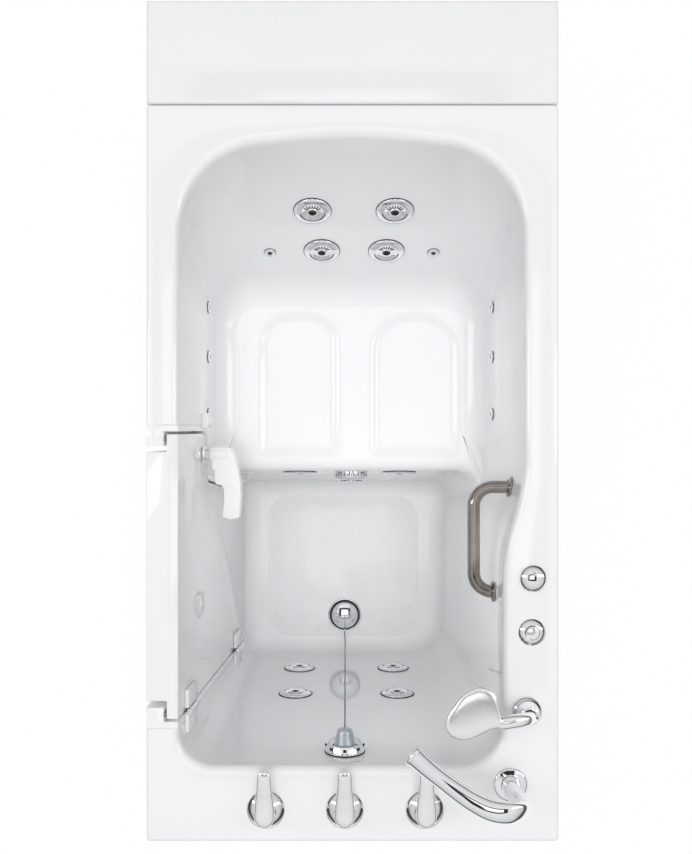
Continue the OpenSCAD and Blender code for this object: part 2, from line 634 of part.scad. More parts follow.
// ---- deck fittings ----
module escutcheon(p) color("silver") translate([p, lever_y, rim_z + gap]) {
    cylinder(r = lever_r, h = 5);
    translate([0, 0, 5]) cylinder(r1 = lever_r - 1, r2 = 22, h = 14);
    translate([0, 0, 19]) cylinder(r1 = 19, r2 = 15, h = 8);
    translate([0, 0, -skin - 20]) cylinder(r = stem_r, h = skin + 21);
}
lever_tip = 88;
module tap_lever(p) color("silver") translate([p, lever_y, rim_z + gap + 27 + gap]) union() {
    cylinder(r1 = 15, r2 = 17, h = 14);
    hull() {
        translate([0, 0, 12]) cylinder(r = 15, h = 8, $fn = 32);
        translate([0, 50, 16]) cylinder(r = 13.5, h = 6, $fn = 32);
        translate([0, lever_tip - 13, 20]) cylinder(r = 12.5, h = 5, $fn = 32);
    }
}
// Supply tails run level towards the room's wall, each from a round collar
collar_r = 12;
collar_l = 26;
tail_z = 862;
tail_l = 30;
module valve_bodies() color("goldenrod") for (x = [hot_x, div_x, cold_x]) translate([x, lever_y, 0])
    difference() {
        union() {
            translate([0, 0, 850]) cylinder(r = 22, h = 70);
            translate([-40, 0, 880]) rotate([0, 90, 0]) cylinder(r = 12, h = 80);
            translate([0, 0, deck_under - 12 - gap]) cylinder(r = 24, h = 12);
            translate([0, 0, 919]) cylinder(r = 18, h = deck_under - 930);
            if (x != div_x) translate([0, 0, tail_z]) rotate([90, 0, 0]) {
                cylinder(r = collar_r, h = collar_l);
                cylinder(r = supply_r, h = collar_l + tail_l);
            }
        }
        translate([0, 0, 925]) cylinder(r = stem_r + gap, h = 60);
    }
// Spout: up, over and down in one sweep
spout_path = [[286, -658, 966], [286, -658, 1000], [287, -658, 1040], [290, -658, 1075],
    [287, -658, 1102], [272, -657, 1116], [252, -656, 1120], [229, -652, 1118], [205, -642, 1113],
    [182, -629, 1107], [153, -610, 1098], [128, -593, 1087], [102, -573, 1074]];
spout_w = [17, 16, 16, 16.5, 18, 18.8, 19, 18.6, 17.4, 16.6, 15.4, 16.2, 17];
spout_t = [17, 15, 13, 11.5, 10.6, 10.2, 10.4, 10.8, 11, 11.2, 11.4, 11.8, 12];
module spout() color("silver") {
    n = 20;
    m = len(spout_path);
    loft([for (k = [0:m - 1])
        let(t = unit(spout_path[min(k + 1, m - 1)] - spout_path[max(k - 1, 0)]),
            s0 = [0.436, 0.9, 0], s = unit(s0 - (s0*t)*t), u = cross(s, t))
        [for (i = [0:n - 1]) spout_path[k] + spout_w[k]*cos(360*i/n)*s
            + spout_t[k]*sin(360*i/n)*u]]);
    translate([spout_at.x, spout_at.y, rim_z + gap]) cylinder(r = 30.5, h = 6);
    translate([spout_at.x, spout_at.y, rim_z - 40]) cylinder(r = stem_r, h = 41);
    translate([spout_at.x, spout_at.y, deck_under - gap - 8]) cylinder(r = 20, h = 8, $fn = 6);
}

// ---- hand shower ----
seat_top = 34;
module shower_holder() color("silver") translate([holder_at.x, holder_at.y, rim_z + gap]) difference() {
    union() {
        cylinder(r = 27, h = 6);
        translate([0, 0, 6]) cylinder(r1 = 20, r2 = 17, h = seat_top - 6);
        translate([0, 0, -40]) cylinder(r = stem_r, h = 41);
        translate([0, 0, -skin - 2*gap - 8]) cylinder(r = 20, h = 8, $fn = 6);
    }
    translate([0, 0, 10]) cylinder(r = 10 + gap, h = 40);
    translate([0, 0, -41]) cylinder(r = 6, h = 60);
}
module hand_shower() color("silver") {
    translate([holder_at.x, holder_at.y, rim_z + 12]) cylinder(r = 10, h = 30);
    translate([holder_at.x, holder_at.y, rim_z + 54]) sphere(r = 17);
    hull() {
        translate([holder_at.x, holder_at.y, rim_z + 56]) sphere(r = 14, $fn = 32);
        translate([278, -520, rim_z + 71]) sphere(r = 10, $fn = 32);
    }
    hull() {
        translate([278, -520, rim_z + 71]) sphere(r = 10, $fn = 32);
        translate([241, -482, rim_z + 67]) cylinder(r = 14, h = 10, $fn = 32);
        translate([249, -528, rim_z + 67]) cylinder(r = 12, h = 10, $fn = 32);
        translate([190, -492, rim_z + 62]) cylinder(r = 27, h = 12, $fn = 32);
        translate([192, -534, rim_z + 62]) cylinder(r = 27, h = 12, $fn = 32);
    }
}
module shower_face() color("dimgray") hull() {
    translate([190, -492, rim_z + 56]) cylinder(r = 22, h = 6 - 3*gap, $fn = 32);
    translate([192, -534, rim_z + 56]) cylinder(r = 22, h = 6 - 3*gap, $fn = 32);
}

// ---- dial and button ----
module dial_base() color("silver") translate([dial_at.x, dial_at.y, rim_z + gap]) difference() {
    union() {
        cylinder(r = dial_r, h = 5);
        translate([0, 0, -40]) cylinder(r = stem_r, h = 41);
        translate([0, 0, -skin - 2*gap - 8]) cylinder(r = 20, h = 8, $fn = 6);
    }
    translate([0, 0, -41]) cylinder(r = 4 + run, h = 60);
}
module air_dial() color("silver") translate([dial_at.x, dial_at.y, rim_z + 2*gap + 5]) {
    cylinder(r1 = dial_r - 1, r2 = dial_r - 4, h = 9);
    translate([0, 0, 9]) cylinder(r1 = dial_r - 4, r2 = dial_r - 11, h = 4);
    translate([-dial_r + 7, -2, 8]) cube([2*dial_r - 14, 4, 8]);
    translate([0, 0, -26]) cylinder(r = 4, h = 27);
}
button_r = 12;
module button_ring() color("silver") translate([button_at.x, button_at.y, rim_z + gap]) difference() {
    union() {
        cylinder(r1 = dial_r, r2 = dial_r - 3, h = 8);
        translate([0, 0, -40]) cylinder(r = stem_r, h = 41);
        translate([0, 0, -skin - 2*gap - 8]) cylinder(r = 20, h = 8, $fn = 6);
    }
    translate([0, 0, -4]) cylinder(r = button_r + gap, h = 20);
    translate([0, 0, -41]) cylinder(r = 4 + run, h = 60);
}
module air_button() color("silver") translate([button_at.x, button_at.y, rim_z + gap]) {
    translate([0, 0, 1.5]) cylinder(r = button_r, h = 7);
    translate([0, 0, -20]) cylinder(r = 4, h = 22);
}

// ---- jets ----
module jet_face() color("silver") {
    rotate_extrude() polygon([[6, 3], [23, 3], [25, 5.5], [30, 7.5], [34, 6], [jet_r, 1.5], [jet_r, gap],
        [throat_r - gap, gap], [throat_r - gap, -26], [17, -26], [17, -2], [6, -2]]);
    for (a = [60, 90, 120]) rotate([0, 0, a]) translate([9, -1, 2.5]) cube([14, 2, 3]);
}
// tilt turns the side port plumb or level on a leaning wall
module jet_body(l, tilt) color("white") {
    difference() {
        union() {
            translate([0, 0, -l]) cylinder(r = jet_body_r, h = l - 1);
            translate([0, 0, -skin - gap - 9]) cylinder(r = 33, h = 9);
            translate([0, 0, -l + port_in]) rotate([90 + tilt, 0, 0]) cylinder(r = 12, h = port_l);
        }
        translate([0, 0, -l + 4]) cylinder(r = throat_r, h = l);
        translate([0, 0, -l + port_in]) rotate([90 + tilt, 0, 0]) cylinder(r = 9, h = port_l + 1);
    }
}
body_l = 52;
port_in = 16;
port_l = 46;
module jet_bodies() {
    for (p = back_jets) on_back_wall(p.x, p.y)
        rotate([0, 0, p.y < 700 ? 0 : p.x < 0 ? -90 : 90])
            jet_body(body_l, p.y < 700 ? lean_back : 0);
    for (p = foot_jets) on_foot_wall(p.x, p.y) rotate([0, 0, p.y > 400 ? 180 : 0])
        jet_body(body_l, p.y > 400 ? draft_f : -draft_f);
    at_seat_jets() jet_body(body_l, lean_seat);
}
module air_jets() color("silver") at_air_jets() {
    translate([0, 0, 3*gap]) cylinder(r1 = air_jet_r, r2 = air_jet_r - 3, h = 4);
    translate([0, 0, -26]) cylinder(r = air_shank_r, h = 27);
    translate([0, 0, -skin - 2*gap - 6]) cylinder(r = 11, h = 6, $fn = 6);
}
module suction_cover() color("silver") on_seat_front(0, suction_z) {
    difference() {
        union() {
            translate([0, 0, gap]) cylinder(r = 36, h = 12);
            translate([0, 0, 12]) cylinder(r1 = 36, r2 = 28, h = 6);
            translate([0, 0, -50]) cylinder(r = jet_body_r, h = 51);
            translate([0, 0, -skin - gap - 9]) cylinder(r = 33, h = 9);
        }
        translate([0, 0, -51]) cylinder(r = throat_r, h = 60);
        for (a = [0:30:330]) rotate([0, 0, a]) translate([10, -1.5, 5]) cube([14, 3, 20]);
    }
}

// ---- pump, blower and pipes under the seat ----
pump_at = [60, 250, 175];
module pump_wet_end() color("dimgray") translate(pump_at) {
    difference() {
        union() {
            rotate([0, -90, 0]) cylinder(r = 75, h = 70);
            translate([-35, 0, 0]) cylinder(r = 24, h = 120);
            translate([-69, 0, 0]) rotate([0, -90, 0]) cylinder(r = 24, h = 46);
            translate([-60, -70, -90]) cube([50, 140, 20]);
            translate([-60, -50, -72]) cube([50, 100, 20]);
        }
        translate([-35, 0, 0]) cylinder(r = 20, h = 130);
        translate([-20, 0, 0]) rotate([0, -90, 0]) cylinder(r = 20, h = 100);
        translate([-8, 0, 0]) rotate([0, -90, 0]) cylinder(r = 66, h = 52);
    }
}
module pump_motor() color("darkslategray") translate(pump_at) {
    translate([gap, 0, 0]) rotate([0, 90, 0]) cylinder(r = 62, h = 190);
    translate([190, 0, 0]) rotate([0, 90, 0]) cylinder(r = 56, h = 22);
    for (a = [0:20:340]) rotate([a, 0, 0]) translate([30, -2, 60]) cube([140, 4, 8]);
    translate([50, -35, 60]) cube([80, 70, 34]);
    translate([40, -60, -90]) cube([30, 120, 34]);
}
module air_blower() color("gray") translate([-190, 370, rail_top]) {
    cylinder(r = 84, h = 46);
    translate([0, 0, 46]) cylinder(r1 = 84, r2 = 66, h = 14);
    translate([0, 0, 60]) cylinder(r = 64, h = 96);
    translate([0, 0, 156]) cylinder(r1 = 64, r2 = 48, h = 18);
    translate([0, 62, 24]) rotate([-90, 0, 0]) cylinder(r = 22, h = 40);
}
// A pipe of radius r along a route, with ball fittings at its corners
socket_t = 3;
fitting_turn = [0, 37, 23];
module pipe(route, r) {
    $fn = 24;
    for (k = [0:len(route) - 2]) let(d = route[k + 1] - route[k])
        translate(route[k]) rotate([0, acos(d.z/norm(d)), atan2(d.y, d.x)])
            cylinder(r = r, h = norm(d));
    for (k = [1:1:len(route) - 2]) translate(route[k]) rotate(fitting_turn) sphere(r = r + socket_t);
}
pipe_r = 22;
branch_r = 16;
stub_r = 10;
suction_route = [[0, -56, 464], [0, -8, 464], [-100, -8, 464], [-100, -8, 175], [-100, 250, 175],
    [-55.5, 250, 175]];
behind = body_l - port_in;
function tenth(v) = round(10*v)/10;
low_jet_z = back_jets[2].y;
high_jet_z = back_jets[0].y;
low_port_y = tenth(back_y(low_jet_z) + behind*cos(lean_back));
low_port_z = tenth(low_jet_z - behind*sin(lean_back) - port_l - gap);
high_port_y = tenth(back_y(high_jet_z) + behind*cos(lean_back));
high_port_z = tenth(high_jet_z - behind*sin(lean_back));
back_header_z = 560;
foot_header_z = 405;
foot_header_y = -634;
function foot_port_y(z) = tenth(foot_y(z) - behind*cos(draft_f));
function foot_port_z(z, way) = tenth(z - behind*sin(draft_f) + way*(port_l + gap));
seat_port_y = tenth(seat_y(seat_jets[0].y) + behind*cos(lean_seat));
seat_port_z = tenth(seat_jets[0].y - behind*sin(lean_seat) - port_l - gap);
riser_y = 250;
riser_r = 20;
riser_x = 25;
riser_route = [[riser_x, riser_y, 295.3], [riser_x, riser_y, 380], [riser_x, low_port_y, 380],
    [riser_x, low_port_y, back_header_z - branch_r - gap]];
side_route = [[riser_x + riser_r + gap, riser_y, 340], [305, riser_y, 340], [305, foot_header_y, 340],
    [305, foot_header_y, foot_header_z], [foot_jets[0].x, foot_header_y, foot_header_z]];
seat_header_z = 415;
seat_header = [[305, seat_port_y, 340], [305, seat_port_y, seat_header_z],
    [seat_jets[0].x, seat_port_y, seat_header_z]];
reach = port_l + gap;
module suction_pipe() color("white") pipe(suction_route, pipe_r);
module water_pipes() color("white") {
    pipe(riser_route, riser_r);
    pipe(side_route, branch_r);
    pipe(seat_header, stub_r);
    pipe([[-134, low_port_y, back_header_z], [141, low_port_y, back_header_z]], branch_r);
    for (p = [[-134, back_jets[0].x - reach], [141, back_jets[1].x + reach]])
        pipe([[p[0], low_port_y, back_header_z], [p[0], high_port_y, back_header_z],
            [p[0], high_port_y, high_port_z], [p[1], high_port_y, high_port_z]], stub_r);
    for (k = [2, 3]) pipe([[back_jets[k].x, low_port_y, back_header_z],
        [back_jets[k].x, low_port_y, low_port_z]], stub_r);
    for (p = foot_jets) pipe([[p.x, foot_port_y(p.y), foot_header_z],
        [p.x, foot_port_y(p.y), foot_port_z(p.y, p.y > 400 ? -1 : 1)]], stub_r);
    for (p = seat_jets) pipe([[p.x, seat_port_y, seat_header_z], [p.x, seat_port_y, seat_port_z]],
        stub_r);
}
module air_pipe() color("white") {
    pipe([[-190, 472.5, rail_top + 24], [-190, 500, rail_top + 24], [-190, 500, 640], [190, 500, 640]],
        16);
    for (x = [-172, 172]) translate([x, 500, 640]) cylinder(r = 6, h = 60);
}
waste_tail = 38;
tee_low = 50;
module waste_pipe() color("white") translate([drain_x, 0, 0]) {
    translate([0, drain_y, tee_low]) cylinder(r = shank_r, h = shank_low - tee_low - gap);
    translate([0, drain_y, tee_low - waste_tail]) cylinder(r = waste_r, h = waste_tail);
    pipe([[0, drain_y, 100], [0, -666, 100], [0, -666, 878], [0, -653.5, 878]], 12);
}

tub_shell();
door_frame();
door_panel();
door_cover();
door_gasket();
hinge_frame_leaves();
hinge_door_leaves();
hinge_pins();
latch_bracket();
latch_handle();
latch_keeper();
extension_deck();
front_skirt();
access_panel();
extension_skirt();
base_rails();
uprights();
levelling_feet();
lock_nuts();
floor_bearers();
grab_bar();
overflow_cover();
drain_flange();
drain_plug();
plug_chain();
escutcheon(hot_x);  // hot_escutcheon
escutcheon(div_x);  // diverter_escutcheon
escutcheon(cold_x);  // cold_escutcheon
tap_lever(hot_x);  // hot_lever
tap_lever(div_x);  // diverter_lever
tap_lever(cold_x);  // cold_lever
valve_bodies();
spout();
shower_holder();
hand_shower();
shower_face();
dial_base();
air_dial();
button_ring();
air_button();
on_back_wall(back_jets[0].x, back_jets[0].y) jet_face();  // back_jet_1
on_back_wall(back_jets[1].x, back_jets[1].y) jet_face();  // back_jet_2
on_back_wall(back_jets[2].x, back_jets[2].y) jet_face();  // back_jet_3
on_back_wall(back_jets[3].x, back_jets[3].y) jet_face();  // back_jet_4
on_foot_wall(foot_jets[0].x, foot_jets[0].y) jet_face();  // foot_jet_1
on_foot_wall(foot_jets[1].x, foot_jets[1].y) jet_face();  // foot_jet_2
on_foot_wall(foot_jets[2].x, foot_jets[2].y) jet_face();  // foot_jet_3
on_foot_wall(foot_jets[3].x, foot_jets[3].y) jet_face();  // foot_jet_4
on_seat_front(seat_jets[0].x, seat_jets[0].y) jet_face();  // seat_jet_1
on_seat_front(seat_jets[1].x, seat_jets[1].y) jet_face();  // seat_jet_2
jet_bodies();
air_jets();
suction_cover();
pump_wet_end();
pump_motor();
air_blower();
suction_pipe();
water_pipes();
air_pipe();
waste_pipe();
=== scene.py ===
# %% [markdown]
# # A walk-in bathtub with a door, seen from above
#
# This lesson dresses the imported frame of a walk-in bathtub. The frame holds the real sizes and the
# moving bodies. The camera comes first, then the helpers, the finishes and the light. The plug's
# chain is the first piece, and the others follow from the big moulding to the smallest button.

# %% Load the frame
import math
import bpy
import bmesh
from mathutils import Matrix, Vector


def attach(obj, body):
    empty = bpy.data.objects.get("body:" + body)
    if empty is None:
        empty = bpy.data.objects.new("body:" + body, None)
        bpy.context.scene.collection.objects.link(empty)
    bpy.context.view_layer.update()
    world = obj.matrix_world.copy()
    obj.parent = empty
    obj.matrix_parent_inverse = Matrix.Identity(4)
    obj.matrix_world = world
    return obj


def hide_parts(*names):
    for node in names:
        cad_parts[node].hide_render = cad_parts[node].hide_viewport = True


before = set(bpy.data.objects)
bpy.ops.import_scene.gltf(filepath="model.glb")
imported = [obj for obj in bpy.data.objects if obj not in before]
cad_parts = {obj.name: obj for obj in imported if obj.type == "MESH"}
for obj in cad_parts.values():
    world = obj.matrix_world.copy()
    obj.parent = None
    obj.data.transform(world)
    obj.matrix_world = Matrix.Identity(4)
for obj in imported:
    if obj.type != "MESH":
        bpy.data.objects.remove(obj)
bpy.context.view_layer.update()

scene = bpy.context.scene
scene.view_settings.view_transform = "Standard"
mm = 0.001

# %% [markdown]
# ## The camera
#
# The picture was taken straight down over the middle of the tub, close enough for the walls to
# open out towards the lens. The lens stands two metres over the rim, so the camera points down
# along Z with no turn at all: up in the picture is the seat end.

# %% Stand the camera over the tub
RIM = 965.0
LENS = 46.54
CAMERA_AT = (-0.0118, -0.0109, 2.965)

camera_data = bpy.data.cameras.new("camera")
camera_data.lens = LENS
camera_data.sensor_width = 36.0
camera = bpy.data.objects.new("camera", camera_data)
camera.location = CAMERA_AT
scene.collection.objects.link(camera)
scene.camera = camera
print("camera", tuple(round(c, 4) for c in camera.location), "lens", LENS)

# %% [markdown]
# ## Making and placing pieces
#
# Every piece is drawn in millimetres in its own small space, then laid on its wall with a matrix
# and scaled to metres in the mesh. Its object stays at the origin, as Blender's exporters like it.
# Edges that turn more than a set angle are marked sharp and everything else is shaded smooth.

# %% Helpers that finish a mesh and make it a piece
SHARP, WELD = 32.0, 0.005


def shade(bm, angle=SHARP):
    """Smooth faces, with sharp edges where the surface turns more than the angle."""
    limit = math.radians(angle)
    for face in bm.faces:
        face.smooth = True
    for edge in bm.edges:
        edge.smooth = len(edge.link_faces) == 2 and edge.calc_face_angle(0.0) < limit


def object_of(name, bm):
    """Turn a drawing in millimetres into an object in metres."""
    bmesh.ops.scale(bm, vec=(mm, mm, mm), verts=bm.verts)
    mesh = bpy.data.meshes.new(name)
    bm.to_mesh(mesh)
    bm.free()
    made = bpy.data.objects.new(name, mesh)
    scene.collection.objects.link(made)
    return made


def make_piece(name, bm, body, finish, nodes=(), angle=SHARP, turn=True):
    """Merge doubles, point the faces outwards, scale to metres and put the piece on its body."""
    bmesh.ops.remove_doubles(bm, verts=bm.verts, dist=WELD)
    bmesh.ops.dissolve_degenerate(bm, edges=bm.edges, dist=WELD / 2)
    if turn:
        bmesh.ops.recalc_face_normals(bm, faces=bm.faces)
    shade(bm, angle)
    piece = object_of(name, bm)
    piece.data.materials.append(finish)
    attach(piece, body)
    if nodes:
        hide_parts(*nodes)
    return piece


def place(bm, matrix, verts=None):
    """Lay the drawn shape, or some of its points, on its wall."""
    bmesh.ops.transform(bm, matrix=matrix, verts=bm.verts if verts is None else verts)


def soften(bm, geom, offset, segments, affect="EDGES", clamp=True):
    """Round off edges or corners, and give back the new faces."""
    return bmesh.ops.bevel(bm, geom=geom, offset=offset, offset_type="OFFSET", segments=segments,
                           profile=0.5, affect=affect, clamp_overlap=clamp, material=-1)["faces"]


def pull_up(bm, faces, height):
    """Draw flat faces up into a slab."""
    grown = bmesh.ops.extrude_face_region(bm, geom=faces)["geom"]
    top = [g for g in grown if isinstance(g, bmesh.types.BMVert)]
    bmesh.ops.translate(bm, vec=(0, 0, height), verts=top)


def settle(piece):
    """Write the result of a piece's modifiers into its mesh."""
    graph = bpy.context.evaluated_depsgraph_get()
    mesh = bpy.data.meshes.new_from_object(piece.evaluated_get(graph))
    piece.modifiers.clear()
    piece.data = mesh
    return mesh


print("pieces are drawn in units of", mm, "m")

# %% [markdown]
# ## Where the walls run
#
# The basin's walls all lean. The door's wall leans 3.5 degrees, the foot wall and the wall with the
# grab bar a little less, and the backrest nearly 30. Each of these helpers gives a matrix that
# stands on one wall with its Z pointing into the basin, so a fitting is drawn once, lying flat.

# %% The walls as matrices
LEFT_LEAN, RIGHT_LEAN, FOOT_LEAN = 3.5, 2.95, 2.95
BACK_LEAN, SEAT_LEAN = 29.4, 6.0
OPEN_LEFT, OPEN_RIGHT, OPEN_FOOT, OPEN_BACK = 316.0, 275.0, 627.0, 520.0
SEAT, FLOOR, NOSE = 557.0, 127.0, -105.0
BULGE, BULGE_FADE, S_START, S_END = 38.0, 0.0172, -280.0, -75.0


def tan(angle):
    return math.tan(math.radians(angle))


def smooth(t):
    c = max(0.0, min(1.0, t))
    return c * c * (3 - 2 * c)


def left_x(z):
    return -OPEN_LEFT + (RIM - z) * tan(LEFT_LEAN)


def foot_y(z):
    return -OPEN_FOOT + (RIM - z) * tan(FOOT_LEAN)


def back_y(z):
    return OPEN_BACK - (RIM - z) * tan(BACK_LEAN)


def seat_front_y(z):
    return NOSE - (SEAT - z) * tan(SEAT_LEAN)


def right_x(y, z):
    swell = BULGE - BULGE_FADE * (RIM - z)
    return OPEN_RIGHT - (RIM - z) * tan(RIGHT_LEAN) + swell * smooth((y - S_START) / (S_END - S_START))


def right_yaw(y, z):
    return math.degrees(math.atan((right_x(y + 1, z) - right_x(y - 1, z)) / 2))


def turn(angle, axis):
    return Matrix.Rotation(math.radians(angle), 4, axis)


def at(x, y, z):
    return Matrix.Translation((x, y, z))


def on_door_wall():
    """Local x runs along the tub, y up the slope from the rim, z into the basin."""
    return at(-OPEN_LEFT, 0, RIM) @ turn(-LEFT_LEAN, "Y") @ Matrix(((0, 0, 1, 0), (1, 0, 0, 0),
            (0, 1, 0, 0), (0, 0, 0, 1)))


def on_left_wall(y, z):
    return at(left_x(z), y, z) @ turn(-LEFT_LEAN, "Y") @ turn(90, "Y")


def on_right_wall(y, z):
    return at(right_x(y, z), y, z) @ turn(-right_yaw(y, z), "Z") @ turn(RIGHT_LEAN, "Y") @ turn(-90,
            "Y")


def on_foot_wall(x, z):
    return at(x, foot_y(z), z) @ turn(FOOT_LEAN, "X") @ turn(-90, "X")


def on_back_wall(x, z):
    return at(x, back_y(z), z) @ turn(-BACK_LEAN, "X") @ turn(90, "X")


def on_seat_front(x, z):
    return at(x, seat_front_y(z), z) @ turn(-SEAT_LEAN, "X") @ turn(90, "X")


print("door wall at the rim", left_x(RIM), "back wall at the seat", round(back_y(SEAT), 1))

# %% [markdown]
# ## Turned, swept and lofted shapes
#
# Most fittings are turned on a lathe: a profile of a few points, spun round Z. The others are
# lofts: a flat grid is rolled into a tube, ring by ring, and its two ends are closed.

# %% Helpers for lathes and lofts
def lathe(bm, profile, steps=64, closed=False):
    """Spin a profile of (radius, height) points round Z."""
    verts = [bm.verts.new((r, 0.0, z)) for r, z in profile]
    pairs = list(zip(verts, verts[1:])) + ([(verts[-1], verts[0])] if closed else [])
    edges = [bm.edges.new(pair) for pair in pairs]
    bmesh.ops.spin(bm, geom=verts + edges, cent=(0, 0, 0), axis=(0, 0, 1), angle=math.tau, steps=steps,
                   use_merge=True)


def loft(bm, rings, close=True):
    """Roll a grid into a tube through equal rings of points."""
    across, along = len(rings[0]), len(rings)
    grid = bmesh.ops.create_grid(bm, x_segments=across, y_segments=along - 1, size=1.0)["verts"]
    for k, vert in enumerate(grid):
        vert.co = rings[k // (across + 1)][(k % (across + 1)) % across]
    bmesh.ops.remove_doubles(bm, verts=grid, dist=0.0005)
    if close:
        ends = [e for e in bm.edges if e.is_boundary]
        bmesh.ops.holes_fill(bm, edges=ends, sides=0)


def curve_through(points, steps):
    """Points on a smooth curve through the given ones, even in each stretch."""
    pts = [Vector(p) for p in points]
    out = []
    for k in range(len(pts) - 1):
        before = pts[k - 1] if k > 0 else 2 * pts[0] - pts[1]
        after = pts[k + 2] if k + 2 < len(pts) else 2 * pts[-1] - pts[-2]
        a, b = pts[k], pts[k + 1]
        for i in range(steps):
            t = i / steps
            out.append(0.5 * (2 * a + (b - before) * t + (2 * before - 5 * a + 4 * b - after) * t ** 2
                              + (3 * a - before - 3 * b + after) * t ** 3))
    out.append(pts[-1])
    return out


def ring_on(point, along, side_hint, wide, thick, count, square=1.0):
    """One ring round a path: an ellipse, or squarer for square below 1."""
    along = along.normalized()
    side = (side_hint - side_hint.dot(along) * along).normalized()
    up = along.cross(side)
    ring = []
    for i in range(count):
        c, s = math.cos(math.tau * i / count), math.sin(math.tau * i / count)
        ring.append(point + wide * math.copysign(abs(c) ** square, c) * side
                    + thick * math.copysign(abs(s) ** square, s) * up)
    return ring


def sweep(bm, path, side_hint, widths, thicks, count, square=1.0):
    """Loft rings along a path, with widths and thicknesses that change on the way."""
    rings = []
    last = len(path) - 1
    for k, point in enumerate(path):
        along = path[min(k + 1, last)] - path[max(k - 1, 0)]
        rings.append(ring_on(point, along, Vector(side_hint), widths[k], thicks[k], count, square))
    loft(bm, rings)


def block(bm, x0, x1, y0, y1, z0, z1, matrix, bevel=1.0, segments=3):
    """A box with softened edges."""
    made = bmesh.ops.create_cube(bm, size=1.0)["verts"]
    bmesh.ops.scale(bm, vec=(x1 - x0, y1 - y0, z1 - z0), verts=made)
    bmesh.ops.translate(bm, vec=((x0 + x1) / 2, (y0 + y1) / 2, (z0 + z1) / 2), verts=made)
    faces = soften(bm, list({e for v in made for e in v.link_edges}), bevel, segments)
    solid = {v for v in made if v.is_valid} | {v for f in faces for v in f.verts}
    place(bm, matrix, list(solid))


def turned(bm, profile, matrix, steps=32):
    """A lathe shape laid down with a matrix, leaving what is drawn already where it is."""
    before = set(bm.verts)
    lathe(bm, profile, steps)
    place(bm, matrix, [v for v in bm.verts if v not in before])


def spread(values, count):
    """Values eased evenly over a number of points."""
    out = []
    for i in range(count):
        t = i / (count - 1) * (len(values) - 1)
        k = min(int(t), len(values) - 2)
        out.append(values[k] + (values[k + 1] - values[k]) * (t - k))
    return out


print("half way between 10 and 20:", spread([10, 20], 3)[1])

# %% [markdown]
# ## Copies of the frame's own parts
#
# The rails, pipes, nuts and skirts already have their true shape in the frame. Each is copied, its
# loose triangles are merged, flat faces are joined again, and a small bevel softens the edges, so
# that every edge catches a little light as a made one does.

# %% A merged and softened copy of a node
MERGE, FLAT = 0.004, 0.4


def dressed_copy(node, body, finish, bevel, segments=2):
    """The node's own shape with joined flat faces and softened edges."""
    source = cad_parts[node]
    source = source if isinstance(source, bpy.types.Object) else bpy.data.objects[node]
    bm = bmesh.new()
    bm.from_mesh(source.data)
    bmesh.ops.scale(bm, vec=(1 / mm, 1 / mm, 1 / mm), verts=bm.verts)
    bmesh.ops.remove_doubles(bm, verts=bm.verts, dist=MERGE)
    bmesh.ops.dissolve_limit(bm, angle_limit=math.radians(FLAT), verts=bm.verts, edges=bm.edges)
    sharp = [e for e in bm.edges if len(e.link_faces) == 2
             and e.calc_face_angle(0.0) > math.radians(SHARP)]
    soften(bm, sharp, bevel, segments)
    return make_piece(node + "_dressed", bm, body, finish, [node], turn=False)


print("helpers ready")

# %% [markdown]
# ## Finishes
#
# Everything here is either polished, moulded or plated, and none of it is a flat colour close up.
# Sprayed gelcoat has a faint orange peel, plated brass has fine polishing marks, drawn steel has
# grain along the tube, and cast housings are grainy. Each effect is a node group that gives a
# mask or a height, placed in every finish that needs it with values of its own.

# %% Node groups for the surface effects
def add_node(tree, kind, links=(), **settings):
    """A node with its settings, and links given as (input, socket or plain value)."""
    node = tree.nodes.new(kind)
    for key, value in settings.items():
        setattr(node, key, value)
    for key, value in links:
        if isinstance(value, bpy.types.NodeSocket):
            tree.links.new(value, node.inputs[key])
        else:
            node.inputs[key].default_value = value
    return node


def maths(tree, operation, *values):
    """The result of one sum on sockets or plain numbers."""
    return add_node(tree, "ShaderNodeMath", enumerate(values), operation=operation).outputs[0]


def noise_at(tree, spot, scale, detail, roughness=0.5):
    return add_node(tree, "ShaderNodeTexNoise", [("Vector", spot), ("Scale", scale), ("Detail", detail),
            ("Roughness", roughness)]).outputs[0]


def group_of(name, inputs, outputs):
    """An empty group: its tree, what it is given, what it returns, and the object's coordinates."""
    tree = bpy.data.node_groups.new(name, "ShaderNodeTree")
    for label, value in inputs:
        socket = tree.interface.new_socket(label, in_out="INPUT", socket_type="NodeSocketFloat")
        socket.default_value = value
    for label in outputs:
        tree.interface.new_socket(label, in_out="OUTPUT", socket_type="NodeSocketFloat")
    given, result = add_node(tree, "NodeGroupInput"), add_node(tree, "NodeGroupOutput")
    spot = add_node(tree, "ShaderNodeTexCoord").outputs["Object"]
    return tree, given.outputs, result.inputs, spot


def orange_peel_group():
    """Slow ripples and a fine peel in sprayed or moulded gloss, with faint cloudiness."""
    tree, given, result, spot = group_of("orange_peel", [("Size", 60.0), ("Cloud", 4.0)],
            ["Height", "Cloud"])
    tree.links.new(noise_at(tree, spot, given["Size"], 2.0, 0.45), result["Height"])
    tree.links.new(noise_at(tree, spot, given["Cloud"], 3.0), result["Cloud"])
    return tree


